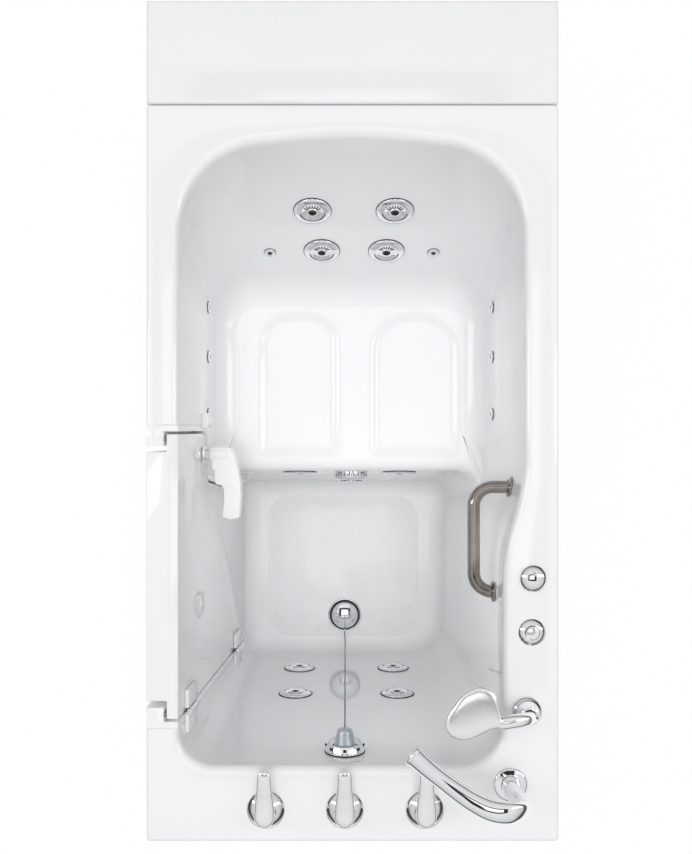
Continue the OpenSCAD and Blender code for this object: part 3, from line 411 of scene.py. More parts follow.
def polish_group():
    """Hairlines and soft smears left by polishing, for plated and drawn metal."""
    tree, given, result, spot = group_of("polish_marks", [("Stretch", 12.0), ("Size", 90.0)],
            ["Marks", "Smear"])
    apart = add_node(tree, "ShaderNodeSeparateXYZ", [("Vector", spot)]).outputs
    pulled = maths(tree, "MULTIPLY", apart["Z"], given["Stretch"])
    joined = add_node(tree, "ShaderNodeCombineXYZ", [("X", apart["X"]), ("Y", apart["Y"]),
            ("Z", pulled)])
    tree.links.new(noise_at(tree, joined.outputs[0], given["Size"], 6.0, 0.7), result["Marks"])
    tree.links.new(noise_at(tree, spot, 14.0, 2.0), result["Smear"])
    return tree


def grain_group():
    """Cast or textured grain, with dust that settles on what faces up."""
    tree, given, result, spot = group_of("grain_and_dust", [("Size", 400.0), ("Dust", 0.4)],
            ["Height", "Dust"])
    grain = add_node(tree, "ShaderNodeTexVoronoi", [("Vector", spot), ("Scale", given["Size"])])
    facing = add_node(tree, "ShaderNodeNewGeometry").outputs["Normal"]
    upward = add_node(tree, "ShaderNodeSeparateXYZ", [("Vector", facing)]).outputs["Z"]
    up_only = add_node(tree, "ShaderNodeMapRange", [("Value", upward), ("From Min", 0.3),
            ("From Max", 1.0)])
    patchy = maths(tree, "MULTIPLY", up_only.outputs[0], noise_at(tree, spot, 30.0, 6.0))
    tree.links.new(grain.outputs[0], result["Height"])
    tree.links.new(maths(tree, "MULTIPLY", patchy, given["Dust"]), result["Dust"])
    return tree


ORANGE_PEEL, POLISH, GRAIN = orange_peel_group(), polish_group(), grain_group()
print("effect groups", ORANGE_PEEL.name, POLISH.name, GRAIN.name)

# %% [markdown]
# ## From effects to materials
#
# Three recipes feed one Principled shader each. The gloss recipe is for gelcoat and moulded
# plastic, the metal recipe for plated and drawn parts, and the grain recipe for cast or rubbery
# parts. What never changes over a surface, such as its metalness, is set on the shader itself.

# %% Recipes for gloss, metal and grain
RECIPES = {"gloss": (ORANGE_PEEL, "Cloud", "Cloud", "Height", (0.3, 0.7), 1.0),
           "metal": (POLISH, "Smear", "Marks", "Marks", (0.3, 0.7), 0.4),
           "grain": (GRAIN, "Dust", "Dust", "Height", (0.0, 1.0), 0.5)}
PLASTIC_IOR, COAT_ROUGH = 1.5, 0.03


def new_finish(recipe, name, values, dark, light, rough, depth, metallic=0.0, coat=0.0):
    """A material whose colour, roughness and bump follow the masks of its recipe's group."""
    group, tint, wear, height, reach, strength = RECIPES[recipe]
    finish = bpy.data.materials.new(name)
    finish.use_nodes = True
    tree = finish.node_tree
    shader = tree.nodes["Principled BSDF"]
    effect = add_node(tree, "ShaderNodeGroup", values.items(), node_tree=group).outputs
    share = add_node(tree, "ShaderNodeMapRange", [("Value", effect[tint]), ("From Min", reach[0]),
            ("From Max", reach[1])])
    colour = add_node(tree, "ShaderNodeMix", [("Factor", share.outputs[0]), ("A", (*dark, 1.0)),
            ("B", (*light, 1.0))], data_type="RGBA")
    worn = add_node(tree, "ShaderNodeMapRange", [("Value", effect[wear]), ("From Min", 0.3),
            ("From Max", 0.7), ("To Min", rough[0]), ("To Max", rough[1])])
    bump = add_node(tree, "ShaderNodeBump", [("Height", effect[height]), ("Strength", strength),
            ("Distance", depth)])
    for label, value in (("Metallic", metallic), ("IOR", PLASTIC_IOR), ("Coat Weight", coat),
                         ("Coat Roughness", COAT_ROUGH)):
        shader.inputs[label].default_value = value
    for label, made in (("Base Color", colour.outputs["Result"]), ("Roughness", worn.outputs[0]),
                        ("Normal", bump.outputs["Normal"])):
        tree.links.new(made, shader.inputs[label])
    return finish


def gloss_finish(name, dark, light, rough, peel, depth, coat=0.3, cloud=4.0):
    return new_finish("gloss", name, {"Size": peel, "Cloud": cloud}, dark, light, rough, depth,
                      coat=coat)


def metal_finish(name, dark, light, rough, stretch=1.0, size=90.0):
    return new_finish("metal", name, {"Stretch": stretch, "Size": size}, dark, light, rough, 0.00001,
                      1.0)


def grain_finish(name, dark, light, rough, size, depth, dust, metallic=0.0):
    return new_finish("grain", name, {"Size": size, "Dust": dust}, dark, light, rough, depth, metallic)


print("recipes", *RECIPES)

# %% The tub's finishes
GELCOAT = gloss_finish("gelcoat_white", (0.895, 0.897, 0.91), (0.91, 0.91, 0.918), (0.05, 0.08), 45.0,
                       0.00005)
DOOR_WHITE = gloss_finish("door_gelcoat", (0.88, 0.883, 0.895), (0.895, 0.897, 0.905), (0.04, 0.07),
                          45.0, 0.00005)
SKIRT_WHITE = gloss_finish("skirt_gelcoat", (0.86, 0.865, 0.875), (0.875, 0.88, 0.885), (0.07, 0.12),
                           30.0, 0.0001)
HANDLE_WHITE = gloss_finish("handle_plastic", (0.88, 0.875, 0.85), (0.895, 0.89, 0.87), (0.14, 0.2),
                            140.0, 0.00003, coat=0.1)
HINGE_WHITE = gloss_finish("hinge_enamel", (0.86, 0.865, 0.87), (0.89, 0.89, 0.89), (0.16, 0.24), 180.0,
                           0.00004, coat=0.1)
PIPE_WHITE = gloss_finish("pipe_plastic", (0.72, 0.73, 0.73), (0.8, 0.8, 0.79), (0.3, 0.42), 90.0,
                          0.0001, coat=0.0, cloud=9.0)
CHROME = metal_finish("bright_chrome", (0.86, 0.87, 0.88), (0.93, 0.935, 0.94), (0.02, 0.05))
SATIN_CHROME = metal_finish("brushed_chrome", (0.9, 0.9, 0.9), (0.97, 0.97, 0.97), (0.12, 0.2),
                            size=220.0)
FAN_CHROME = metal_finish("soft_chrome", (0.92, 0.93, 0.92), (0.97, 0.98, 0.97), (0.18, 0.24),
                          size=220.0)
BOSS_GREY = metal_finish("matt_plate", (0.5, 0.56, 0.6), (0.66, 0.72, 0.75), (0.28, 0.38), size=300.0)
# The bar's dark brown, in broad smears, is painted reflection of dark surroundings in the polished
# steel.
BAR_STEEL_PAINTED_REFLECTION = metal_finish("bar_steel_painted_reflection", (0.27, 0.245, 0.22), (0.42, 0.385, 0.36), (0.02, 0.05),
                         6.0, 160.0)
CHAIN_STEEL = metal_finish("bead_steel", (0.3, 0.3, 0.31), (0.42, 0.42, 0.43), (0.08, 0.16), size=500.0)
FRAME_STEEL = grain_finish("powder_coated_steel", (0.42, 0.44, 0.47), (0.62, 0.62, 0.6), (0.38, 0.6),
                           700.0, 0.00015, 0.5, 0.4)
ZINC = metal_finish("zinc_plate", (0.48, 0.49, 0.5), (0.68, 0.68, 0.66), (0.22, 0.4), size=240.0)
BRASS = metal_finish("valve_brass", (0.55, 0.38, 0.16), (0.72, 0.53, 0.26), (0.2, 0.34), size=120.0)
RUBBER = grain_finish("seal_rubber", (0.2, 0.2, 0.21), (0.3, 0.3, 0.3), (0.45, 0.6), 500.0, 0.0001,
                      0.25)
PLUG_BLACK = grain_finish("plug_rubber", (0.012, 0.012, 0.013), (0.05, 0.05, 0.05), (0.3, 0.45), 600.0,
                          0.00006, 0.2)
# Black for nozzles and screens, and painted shade in holes, slots and gaps round fittings.
BLACK_AND_PAINTED_SHADE = grain_finish("black_and_painted_shade", (0.008, 0.008, 0.009), (0.03, 0.03, 0.03), (0.25, 0.4),
                            700.0, 0.00004, 0.1)
SPRAY_GREY = grain_finish("spray_face_grey", (0.2, 0.21, 0.22), (0.28, 0.28, 0.28), (0.35, 0.5), 800.0,
                          0.00005, 0.1)
PUMP_BLACK = grain_finish("pump_housing", (0.018, 0.018, 0.02), (0.16, 0.155, 0.15), (0.4, 0.6), 260.0,
                          0.0003, 0.7)
MOTOR_PAINT = grain_finish("motor_paint", (0.03, 0.045, 0.07), (0.2, 0.2, 0.2), (0.3, 0.5), 500.0,
                           0.0002, 0.6)


def bright_piece(name, bm, body, nodes=()):
    """A piece of plain chrome."""
    return make_piece(name, bm, body, CHROME, nodes)


def dark_piece(name, bm, body="tub"):
    """Holes, slots, gaps and nozzles as small black pieces: black nozzles and screens, and painted
    shade in openings and gaps.
    """
    return make_piece(name, bm, body, BLACK_AND_PAINTED_SHADE)


print("finishes", len(bpy.data.materials))

# %% [markdown]
# ## The light and the floor
#
# White gelcoat shows its shape only by its reflections, so the studio matters more than the paint.
# The sky is white overhead and dark near the horizon, which gives chrome its black and white edges
# and lets the leaning walls fall a little grey. Two strip lamps along the sides draw the long
# streaks on the seat, and one wide lamp overhead lights the rest evenly. A soft sun straight down
# and a small lamp over the foot well light the floor of the basin without showing in the chrome.

# %% World, lamps and floor
PANEL = {"X": 0.3, "Y": 0.24}
PANEL_STOPS = [(0.0, 0.8), (0.26, 0.8), (0.3, 0.02), (0.48, 0.02), (0.52, 0.5)]
SKY_STOPS = [(0.0, 0.5), (0.03, 0.04), (0.2, 0.07), (0.38, 0.6), (1.0, 0.86)]
PANEL_GAIN, SKY_BLUE, DIFFUSE_CUT = 2.0, 1.02, -0.26
PAPER, PAPER_ROUGH, GLOW, GLOW_SHARE = 0.88, 0.9, 1.03, 0.85


def grey_ramp(tree, along, stops, blue=1.0):
    """A colour ramp from its stops, each a place and a level of grey."""
    ramp = add_node(tree, "ShaderNodeValToRGB", [("Fac", along)])
    ramp.color_ramp.elements.remove(ramp.color_ramp.elements[1])
    for k, (spot, level) in enumerate(stops):
        stop = ramp.color_ramp.elements[0] if k == 0 else ramp.color_ramp.elements.new(spot)
        stop.position = spot
        stop.color = (level, level, level * blue, 1.0)
    return ramp.outputs["Color"]


def panel_overhead(tree, parts):
    """A bright panel with a black frame, seen only in the chrome as a streak between dark lines."""
    sides = []
    for axis, half in PANEL.items():
        slope = maths(tree, "DIVIDE", parts[axis], parts["Z"])
        sides.append(maths(tree, "DIVIDE", maths(tree, "ABSOLUTE", slope), half))
    share = maths(tree, "DIVIDE", maths(tree, "MAXIMUM", *sides), PANEL_GAIN)
    level = grey_ramp(tree, share, PANEL_STOPS)
    return add_node(tree, "ShaderNodeVectorMath", [(0, level), (1, [PANEL_GAIN] * 3)],
                    operation="MULTIPLY").outputs[0]


def sky():
    world = bpy.data.worlds.new("studio")
    scene.world = world
    world.use_nodes = True
    tree = world.node_tree
    seen = add_node(tree, "ShaderNodeLightPath").outputs
    direction = add_node(tree, "ShaderNodeTexCoord").outputs["Generated"]
    parts = add_node(tree, "ShaderNodeSeparateXYZ", [("Vector", direction)]).outputs
    height = grey_ramp(tree, parts["Z"], SKY_STOPS, SKY_BLUE)
    lit = add_node(tree, "ShaderNodeMix", [("Factor", 1.0), ("A", height),
            ("B", panel_overhead(tree, parts))], data_type="RGBA", blend_type="MULTIPLY",
                   clamp_result=False)
    mix = add_node(tree, "ShaderNodeMix", [("Factor", seen["Is Camera Ray"]),
            ("A", lit.outputs["Result"]), ("B", (1.0, 1.0, 1.0, 1.0))], data_type="RGBA")
    background = tree.nodes["Background"].inputs
    tree.links.new(mix.outputs["Result"], background["Color"])
    tree.links.new(maths(tree, "MULTIPLY_ADD", seen["Is Diffuse Ray"], DIFFUSE_CUT, 1.0),
                   background["Strength"])


def hang_lamp(name, kind, spot, glossy, **settings):
    data = bpy.data.lights.new(name, kind)
    for key, value in settings.items():
        setattr(data, key, value)
    lamp = bpy.data.objects.new(name, data)
    lamp.location, lamp.visible_glossy = spot, glossy
    scene.collection.objects.link(lamp)
    return lamp


def soft_lamp(name, spot, aim, width, depth, power, glossy=True):
    lamp = hang_lamp(name, "AREA", spot, glossy, shape="RECTANGLE", size=width, size_y=depth,
                     energy=power)
    lamp.rotation_euler = (Vector(aim) - Vector(spot)).to_track_quat("-Z", "Y").to_euler()


def studio_floor():
    """White paper that glows a little where it is seen, so that it stays white in the picture."""
    bm = bmesh.new()
    bmesh.ops.create_grid(bm, x_segments=1, y_segments=1, size=9.0 / mm)
    bmesh.ops.translate(bm, vec=(0, 0, -0.5), verts=bm.verts)
    floor = object_of("studio_floor", bm)
    paper = bpy.data.materials.new("studio_paper")
    paper.use_nodes = True
    tree = paper.node_tree
    shader = tree.nodes["Principled BSDF"]
    shader.inputs["Base Color"].default_value = (PAPER, PAPER, PAPER, 1.0)
    shader.inputs["Roughness"].default_value = PAPER_ROUGH
    seen = add_node(tree, "ShaderNodeLightPath").outputs
    either = maths(tree, "MAXIMUM", seen["Is Camera Ray"], seen["Is Glossy Ray"])
    any_of = maths(tree, "MAXIMUM", either, seen["Is Transmission Ray"])
    glow = add_node(tree, "ShaderNodeEmission", [("Color", (1, 1, 1, 1)), ("Strength", GLOW)])
    blend = add_node(tree, "ShaderNodeMixShader", [(0, maths(tree, "MULTIPLY", any_of, GLOW_SHARE)),
            (1, shader.outputs[0]), (2, glow.outputs[0])])
    tree.links.new(blend.outputs[0], tree.nodes["Material Output"].inputs["Surface"])
    floor.data.materials.append(paper)


sky()
hang_lamp("high_sun", "SUN", (0, 0, 4), False, energy=1.03, angle=math.radians(30))
soft_lamp("overhead", (0.15, -0.1, 4.4), (0, 0, 0.6), 2.6, 2.2, 12.0, False)
soft_lamp("strip_left", (-2.3, 0.2, 2.9), (0, 0.1, 0.6), 0.5, 2.6, 9.0)
soft_lamp("strip_right", (2.3, 0.1, 2.9), (0, 0.0, 0.6), 0.5, 2.6, 9.0)
soft_lamp("well_fill", (0.1, -0.34, 0.9), (0.14, -0.34, 0), 0.36, 0.44, 0.22, False)
studio_floor()

# %% [markdown]
# ## The plug and its chain
#
# A ball chain hangs from the overflow cover, close to the foot wall, and ends in a small loop at
# the plug's edge. Each of its hollow steel beads is a small sphere, as it is seen only from far
# off, and the pins between them are four sided. The plug is a black rubber disc with a bright
# dome on top.

# %% Lay the beads along the chain's route
CHAIN_ROUTE = [(-14, -578, 876), (-14, -577, 850), (-14, -577, 800), (-14, -576, 700), (-14, -575, 600),
               (-14, -573, 500), (-14, -571, 400), (-14, -568, 300), (-14, -562, 220), (-14, -556, 184),
               (-14.5, -549, 158), (-15, -543, 144), (-15, -538, 138), (-15, -535, 136.5)]
CHAIN_D, BEAD_STEP, PIN_R, PIN_L = 3.6, 1.16, 0.9, 1.2
DRAIN_AT = (-15.0, -493.0)
LOOP_AT, LOOP_R, WIRE_R, LOOP_STEPS = (-15.0, -532.4, 136.2), 3.2, 0.7, 20


def along_route(path, step):
    """Points every few millimetres along a path, with the way it runs at each."""
    left = 0.0
    for a, b in zip(path, path[1:]):
        run = (b - a).length
        while left <= run:
            yield a.lerp(b, left / run), (b - a).normalized()
            left += step
        left -= run


def drain_plug():
    centre = at(*DRAIN_AT, 0)
    rubber, dome, loop = bmesh.new(), bmesh.new(), bmesh.new()
    turned(rubber, [(0, 128.4), (20.2, 128.4), (20.6, 129), (20.6, 132.9), (36.8, 132.9), (38, 133.6),
                    (38, 135.2), (37, 136.3), (35.2, 136.6), (33.6, 136.2), (32.8, 135.6), (0, 135.4)],
           centre, 72)
    turned(dome, [(0, 135.2), (33.1, 135.4), (33.6, 136.2), (33.2, 137.4), (31.6, 138.7), (27, 140.4),
                  (20, 142.2), (12, 143.4), (5, 143.9), (0, 144)], centre, 72)
    rings = []
    for k in range(LOOP_STEPS + 1):
        c, s = math.cos(math.tau * k / LOOP_STEPS), math.sin(math.tau * k / LOOP_STEPS)
        rings.append(ring_on(Vector(LOOP_AT) + LOOP_R * Vector((c, s, 0)), Vector((-s, c, 0)),
                             Vector((0, 0, 1)), WIRE_R, WIRE_R, 8))
    loft(loop, rings, close=False)
    make_piece("plug_rubber", rubber, "plug", PLUG_BLACK, ["drain_plug"])
    bright_piece("plug_dome", dome, "plug")
    return bright_piece("plug_loop", loop, "plug")


def bead_chain():
    path = curve_through(CHAIN_ROUTE, 6)
    bm = bmesh.new()
    for point, way in along_route(path, CHAIN_D * BEAD_STEP):
        spot = at(*point) @ way.to_track_quat("Z", "Y").to_matrix().to_4x4()
        bmesh.ops.create_uvsphere(bm, u_segments=8, v_segments=5, radius=CHAIN_D / 2, matrix=spot)
        bmesh.ops.create_cone(bm, cap_ends=False, segments=4, radius1=PIN_R, radius2=PIN_R, depth=PIN_L,
                              matrix=spot @ at(0, 0, CHAIN_D * BEAD_STEP / 2))
    length = sum((b - a).length for a, b in zip(path, path[1:]))
    chain = make_piece("plug_bead_chain", bm, "tub", CHAIN_STEEL, ["plug_chain"],
                       angle=80)
    drain_plug()
    return length


print("chain length in mm", round(bead_chain()))

# %% [markdown]
# ## The moulded tub
#
# The real tub is one sheet, laid up over a mould. So it is made here as one sheet:
# level outlines run from the lower edge of the apron over the deck, down the walls, across the
# seat and down to the floor, and a grid is rolled through them. The seat is then cut into a fine
# net, so that the two thigh hollows can be pressed into it, and Solidify gives the sheet its 6 mm.

# %% Outlines of the basin, level by level
HALF_W, FOOT_END, TUB_END = 374.0, -762.5, 573.5
SKIN, APRON, EDGE_R, ROLL_R = 6.0, 46.0, 6.0, 14.0
BACK_R, SEAT_BACK_R, FOOT_LEFT_R, FOOT_RIGHT_R = 165.0, 90.0, 65.0, 80.0
SEAT_FILLET, NOSE_R, FLOOR_FILLET = 45.0, 22.0, 34.0
WELL_R, WELL_LEFT_R, SEAT_FALL = 45.0, 12.0, 2.0
RIM_CROWN, CROWN_FROM = 12.0, 840.0
FADE_FROM, FADE_TO = -82.0, -20.0
CORNER_N, SIDE_N, CROWN_N = 16, 36, 24


def corner(cx, cy, r, start):
    turns = [math.radians(start + 90 * i / CORNER_N) for i in range(CORNER_N + 1)]
    return [(cx + r * math.cos(a), cy + r * math.sin(a)) for a in turns]


def level(z, drawn_in, fillet, back, left_r, rear_r, crown):
    """One closed outline of the basin at a height, from the foot's left corner round by the right."""
    down = RIM - z
    xl, yf = left_x(z) + drawn_in, foot_y(z) + drawn_in
    fl = max(6.0, FOOT_LEFT_R - 0.046 * down - drawn_in)
    fr = max(6.0, FOOT_RIGHT_R - drawn_in)
    ye = back - drawn_in - fillet
    bl, br = max(6.0, left_r - drawn_in - fillet), max(6.0, rear_r - drawn_in - fillet)
    y_side = min(FADE_TO, ye - crown - max(bl, br))
    xf, xr = right_x(-OPEN_FOOT, z) - drawn_in, right_x(ye - br, z) - drawn_in - fillet
    near_seat = lambda y: fillet * smooth((y - FADE_FROM) / (FADE_TO - FADE_FROM))
    going = [S_START + (y_side - S_START) * i / SIDE_N for i in range(SIDE_N + 1)]
    xa, xb = xr - br, xl + fillet + bl
    bows = [2 * i / CROWN_N - 1 for i in range(1, CROWN_N)]
    points = corner(xl + fl, yf + fl, fl, 180) + corner(xf - fr, yf + fr, fr, 270)
    points += [(right_x(y, z) - drawn_in - near_seat(y), y) for y in going]
    points += corner(xr - br, ye - crown - br, br, 0)
    points += [(xa + (xb - xa) * (u + 1) / 2, ye - crown * u * u) for u in bows]
    points += corner(xb, ye - crown - bl, bl, 90)
    points += [(xl + near_seat(y), y) for y in reversed(going)]
    return [Vector((x, y, z)) for x, y in points]


def deck_level(z, inset, rim):
    """The same count of points laid on the deck's outer edge."""
    r = EDGE_R - inset / 2
    x, y0, y1 = HALF_W - inset, FOOT_END + inset, TUB_END - inset
    n = CORNER_N + 1
    points = corner(-x + r, y0 + r, r, 180) + corner(x - r, y0 + r, r, 270)
    points += [(x, p.y) for p in rim[2 * n:2 * n + SIDE_N + 1]]
    points += corner(x - r, y1 - r, r, 0)
    points += [(p.x, y1) for p in rim[3 * n + SIDE_N + 1:3 * n + SIDE_N + CROWN_N]]
    points += corner(-x + r, y1 - r, r, 90)
    points += [(-x, p.y) for p in rim[-(SIDE_N + 1):]]
    return [Vector((px, py, z)) for px, py in points]


def back_radius(z):
    return BACK_R - (BACK_R - SEAT_BACK_R) * (RIM - z) / (RIM - SEAT)


def crown_at(z):
    return RIM_CROWN * max(0.0, (z - CROWN_FROM) / (RIM - CROWN_FROM)) ** 1.3


def quarter(steps):
    return [math.radians(90 * i / steps) for i in range(steps + 1)]


def wall_level(z, drawn_in=0.0, fillet=0.0):
    return level(z, drawn_in, fillet, back_y(z), back_radius(z), back_radius(z), crown_at(z))


def well_level(z, drawn_in=0.0, forward=0.0):
    return level(z, drawn_in, 0.0, seat_front_y(z) + forward, WELL_LEFT_R, WELL_R, 0.0)


rim_loop = level(RIM, -ROLL_R, 0.0, OPEN_BACK, BACK_R, BACK_R, RIM_CROWN)
deck_rings = [deck_level(RIM - APRON, 0, rim_loop), deck_level(RIM - 26, 0, rim_loop)]
deck_rings += [deck_level(RIM - EDGE_R + EDGE_R * math.sin(a), EDGE_R * (1 - math.cos(a)), rim_loop)
               for a in quarter(5)]
wall_rings = [wall_level(RIM - ROLL_R * (1 - math.cos(a)), -ROLL_R * (1 - math.sin(a)))
              for a in quarter(8)]
wall_rings += [wall_level(z) for z in (935, 915, 895, 875, 855, 840, 815, 790, 760, 730, 700, 670, 640,
        622)]
seat_rings = [wall_level(SEAT + SEAT_FALL + SEAT_FILLET * (1 - math.sin(a)), 0,
                         SEAT_FILLET * (1 - math.cos(a))) for a in quarter(12)]
nose_rings = [well_level(SEAT - NOSE_R * (1 - math.cos(a)), 0, NOSE_R * (1 - math.sin(a)))
              for a in quarter(8)]
well_rings = [well_level(z) for z in (500, 450, 400, 350, 300, 250, 200)]
floor_rings = [well_level(FLOOR + FLOOR_FILLET * (1 - math.sin(a)), FLOOR_FILLET * (1 - math.cos(a)))
               for a in quarter(10)]
basin_rings = deck_rings + wall_rings + seat_rings + nose_rings + well_rings + floor_rings
print("outlines", len(basin_rings), "of", len(basin_rings[0]), "points")

# %% Roll the sheet through the outlines, and press the thigh hollows into the seat
LOBES = ((-203.0, -24.0, 66.0), (40.0, 236.0, 88.0))
LOBE_BACK, LOBE_FRONT, LOBE_D, LOBE_EDGE, NET = 240.0, -76.0, 5.5, 20.0, 6.0


def hollow_at(x, y):
    """Depth of the nearest thigh hollow: a box with rounder corners behind."""
    deepest = 0.0
    for x0, x1, behind in LOBES:
        r = behind if y > (LOBE_FRONT + LOBE_BACK) / 2 else 14.0
        qx = abs(x - (x0 + x1) / 2) - (x1 - x0) / 2 + r
        qy = abs(y - (LOBE_FRONT + LOBE_BACK) / 2) - (LOBE_BACK - LOBE_FRONT) / 2 + r
        d = math.hypot(max(qx, 0), max(qy, 0)) + min(max(qx, qy), 0) - r
        deepest = max(deepest, LOBE_D * smooth(-d / LOBE_EDGE))
    return deepest


def cut_net(bm, faces, step, box):
    """Knife cuts along X and Y through a flat region."""
    inside = set(faces)
    for axis, low, high in ((0, box[0], box[1]), (1, box[2], box[3])):
        spot = low + step / 2
        while spot < high:
            normal = Vector((1.0, 0, 0)) if axis == 0 else Vector((0, 1.0, 0))
            region = [f for f in inside if f.is_valid]
            parts = region + list({e for f in region for e in f.edges})
            parts += list({v for f in region for v in f.verts})
            done = bmesh.ops.bisect_plane(bm, geom=parts, plane_co=normal * spot, plane_no=normal,
                                          dist=0.001)
            inside = {g for g in done["geom"] if isinstance(g, bmesh.types.BMFace)} | {f
                    for f in inside if f.is_valid}
            spot += step
    return [f for f in inside if f.is_valid]


def tub_sheet():
    bm = bmesh.new()
    loft(bm, basin_rings, close=False)
    bmesh.ops.remove_doubles(bm, verts=bm.verts, dist=0.05)
    floor_edge = [e for e in bm.edges if e.is_boundary and e.verts[0].co.z < SEAT]
    bmesh.ops.holes_fill(bm, edges=floor_edge, sides=0)
    bmesh.ops.recalc_face_normals(bm, faces=bm.faces)
    if max(bm.faces, key=lambda f: f.calc_area()).normal.z < 0:
        bmesh.ops.reverse_faces(bm, faces=bm.faces)
    flat = [f for f in bm.faces if abs(f.normal.z) > 0.9995
            and abs(f.calc_center_median().z - SEAT) < 3 and f.calc_center_median().y > -100]
    seat = bmesh.ops.dissolve_faces(bm, faces=flat, use_verts=False)["region"]
    seat = [f for f in seat if f.is_valid and f.calc_area() > 1000]
    seat = cut_net(bm, seat, NET, (-260, 260, NOSE, 260))
    for vert in {v for f in seat for v in f.verts}:
        vert.co.z -= hollow_at(vert.co.x, vert.co.y)
    print("seat net", len(seat), "faces, sheet", len(bm.faces))
    return bm


tub_skin = make_piece("tub_skin", tub_sheet(), "tub", GELCOAT, ["tub_shell"], turn=False)

# %% [markdown]
# ## The doorway
#
# The doorway is sawn out of the moulding afterwards, so it is a Boolean cut here too. Its outline
# starts as six corners of one face; a vertex bevel rounds each corner with its own radius, which
# is how the step in the latch side and the round lower corners come about.

# %% The doorway's outline, and cuts through the sheet
DOOR_HINGE, DOOR_LATCH, DOOR_LOW, DOOR_STEP = -540.5, -24.0, 175.0, 688.0
LIP_GAP, JAMB_W = 5.0, 12.0
ABOVE = 60.0


def low(z):
    return -(RIM - z) / math.cos(math.radians(LEFT_LEAN))


LIP_POINTS = [(DOOR_HINGE, ABOVE), (DOOR_HINGE, low(DOOR_LOW)), (-178, low(DOOR_LOW)),
              (-125, low(DOOR_STEP - 12)), (DOOR_LATCH, low(DOOR_STEP)), (DOOR_LATCH, ABOVE)]
LIP_RADII = [0, 60, 60, -22, 46, 0]


def outline(bm, points, radii, inset, z, rounding=10):
    """A face from its corners, drawn in by the inset, each corner rounded by a vertex bevel."""
    pts = [Vector(p) for p in points]
    n = len(pts)
    verts, cuts = [], []
    for i, p in enumerate(pts):
        a, b = (p - pts[i - 1]).normalized(), (pts[(i + 1) % n] - p).normalized()
        na, nb = Vector((-a.y, a.x)), Vector((-b.y, b.x))
        q = p + inset * (na + nb) / (1 + na.dot(nb))
        verts.append(bm.verts.new((q.x, q.y, z)))
        r = radii[i]
        kept = 0 if r == 0 else max(2.0, r - inset if r > 0 else -r + inset)
        half = math.acos(max(-1, min(1, -a.dot(b)))) / 2
        cuts.append(kept / math.tan(half))
    bm.faces.new(verts)
    for vert, cut in zip(verts, cuts):
        if cut > 0:
            soften(bm, [vert], cut, rounding, "VERTICES", False)
    return [f for f in bm.faces if abs(f.calc_center_median().z - z) < 1e-4]


def cutter_of(bm):
    bmesh.ops.recalc_face_normals(bm, faces=bm.faces)
    return object_of("cutter", bm)


def cut_away(piece, cutters):
    for cutter in cutters:
        cut = piece.modifiers.new("cut", "BOOLEAN")
        cut.object, cut.operation, cut.solver = cutter, "DIFFERENCE", "MANIFOLD"
    mesh = settle(piece)
    for cutter in cutters:
        bpy.data.objects.remove(cutter)
    bm = bmesh.new()
    bm.from_mesh(mesh)
    bmesh.ops.remove_doubles(bm, verts=bm.verts, dist=WELD * mm)
    shade(bm)
    bm.to_mesh(mesh)
    bm.free()


def round_cutter(matrix, r, z0, z1):
    bm = bmesh.new()
    bmesh.ops.create_cone(bm, cap_ends=True, segments=40, radius1=r, radius2=r, depth=z1 - z0,
                          matrix=matrix @ at(0, 0, (z0 + z1) / 2))
    return cutter_of(bm)


OVERFLOW_AT, DRAIN_HOLE_R = (-14.0, 880.0), 26.0
CUT_FROM, CUT_TO, CUT_PLAY = -400.0, 5.0, 0.3
doorway = bmesh.new()
pull_up(doorway, outline(doorway, LIP_POINTS, LIP_RADII, -LIP_GAP - JAMB_W - CUT_PLAY, CUT_FROM),
        CUT_TO - CUT_FROM)
place(doorway, on_door_wall())

thicken = tub_skin.modifiers.new("wall", "SOLIDIFY")
thicken.thickness, thicken.offset, thicken.use_even_offset = SKIN * mm, -1.0, False
thicken.thickness_clamp = 0.0
settle(tub_skin)
cut_away(tub_skin, [cutter_of(doorway), round_cutter(at(*DRAIN_AT, 0), DRAIN_HOLE_R, 60, 200),
                    round_cutter(on_foot_wall(*OVERFLOW_AT), 20, -30, 12)])
print("tub faces", len(tub_skin.data.polygons))

# %% [markdown]
# ## The tread on the floor
#
# Rows of little raised dots keep wet feet from slipping. They stand on a pad a millimetre and a
# half high with round corners. One dot is a low stud of nine faces, laid out in a staggered
# net, so the whole field stays light.

# %% Pad and dots
TREAD = (-210.0, 173.0, -545.0, -189.0)
TREAD_H, TREAD_R, PAD_BEVEL, PAD_SUNK = 1.5, 55.0, 1.4, 0.5
DOT_R, DOT_H, DOT_STEP, DOT_TOP, DOT_EDGE, DOT_DRAIN = 2.6, 1.3, 8.6, 0.5, 9.0, 50.0


def tread_pad():
    bm = bmesh.new()
    x0, x1, y0, y1 = TREAD
    corners = [(x0, y1), (x0, y0), (x1, y0), (x1, y1)]
    pull_up(bm, outline(bm, corners, [TREAD_R] * 4, 0.0, FLOOR - PAD_SUNK), TREAD_H + PAD_SUNK)
    edges = [e for e in bm.edges if all(v.co.z > FLOOR + 1 for v in e.verts) and len(e.link_faces) == 2]
    soften(bm, edges, PAD_BEVEL, 3, clamp=False)
    return bm


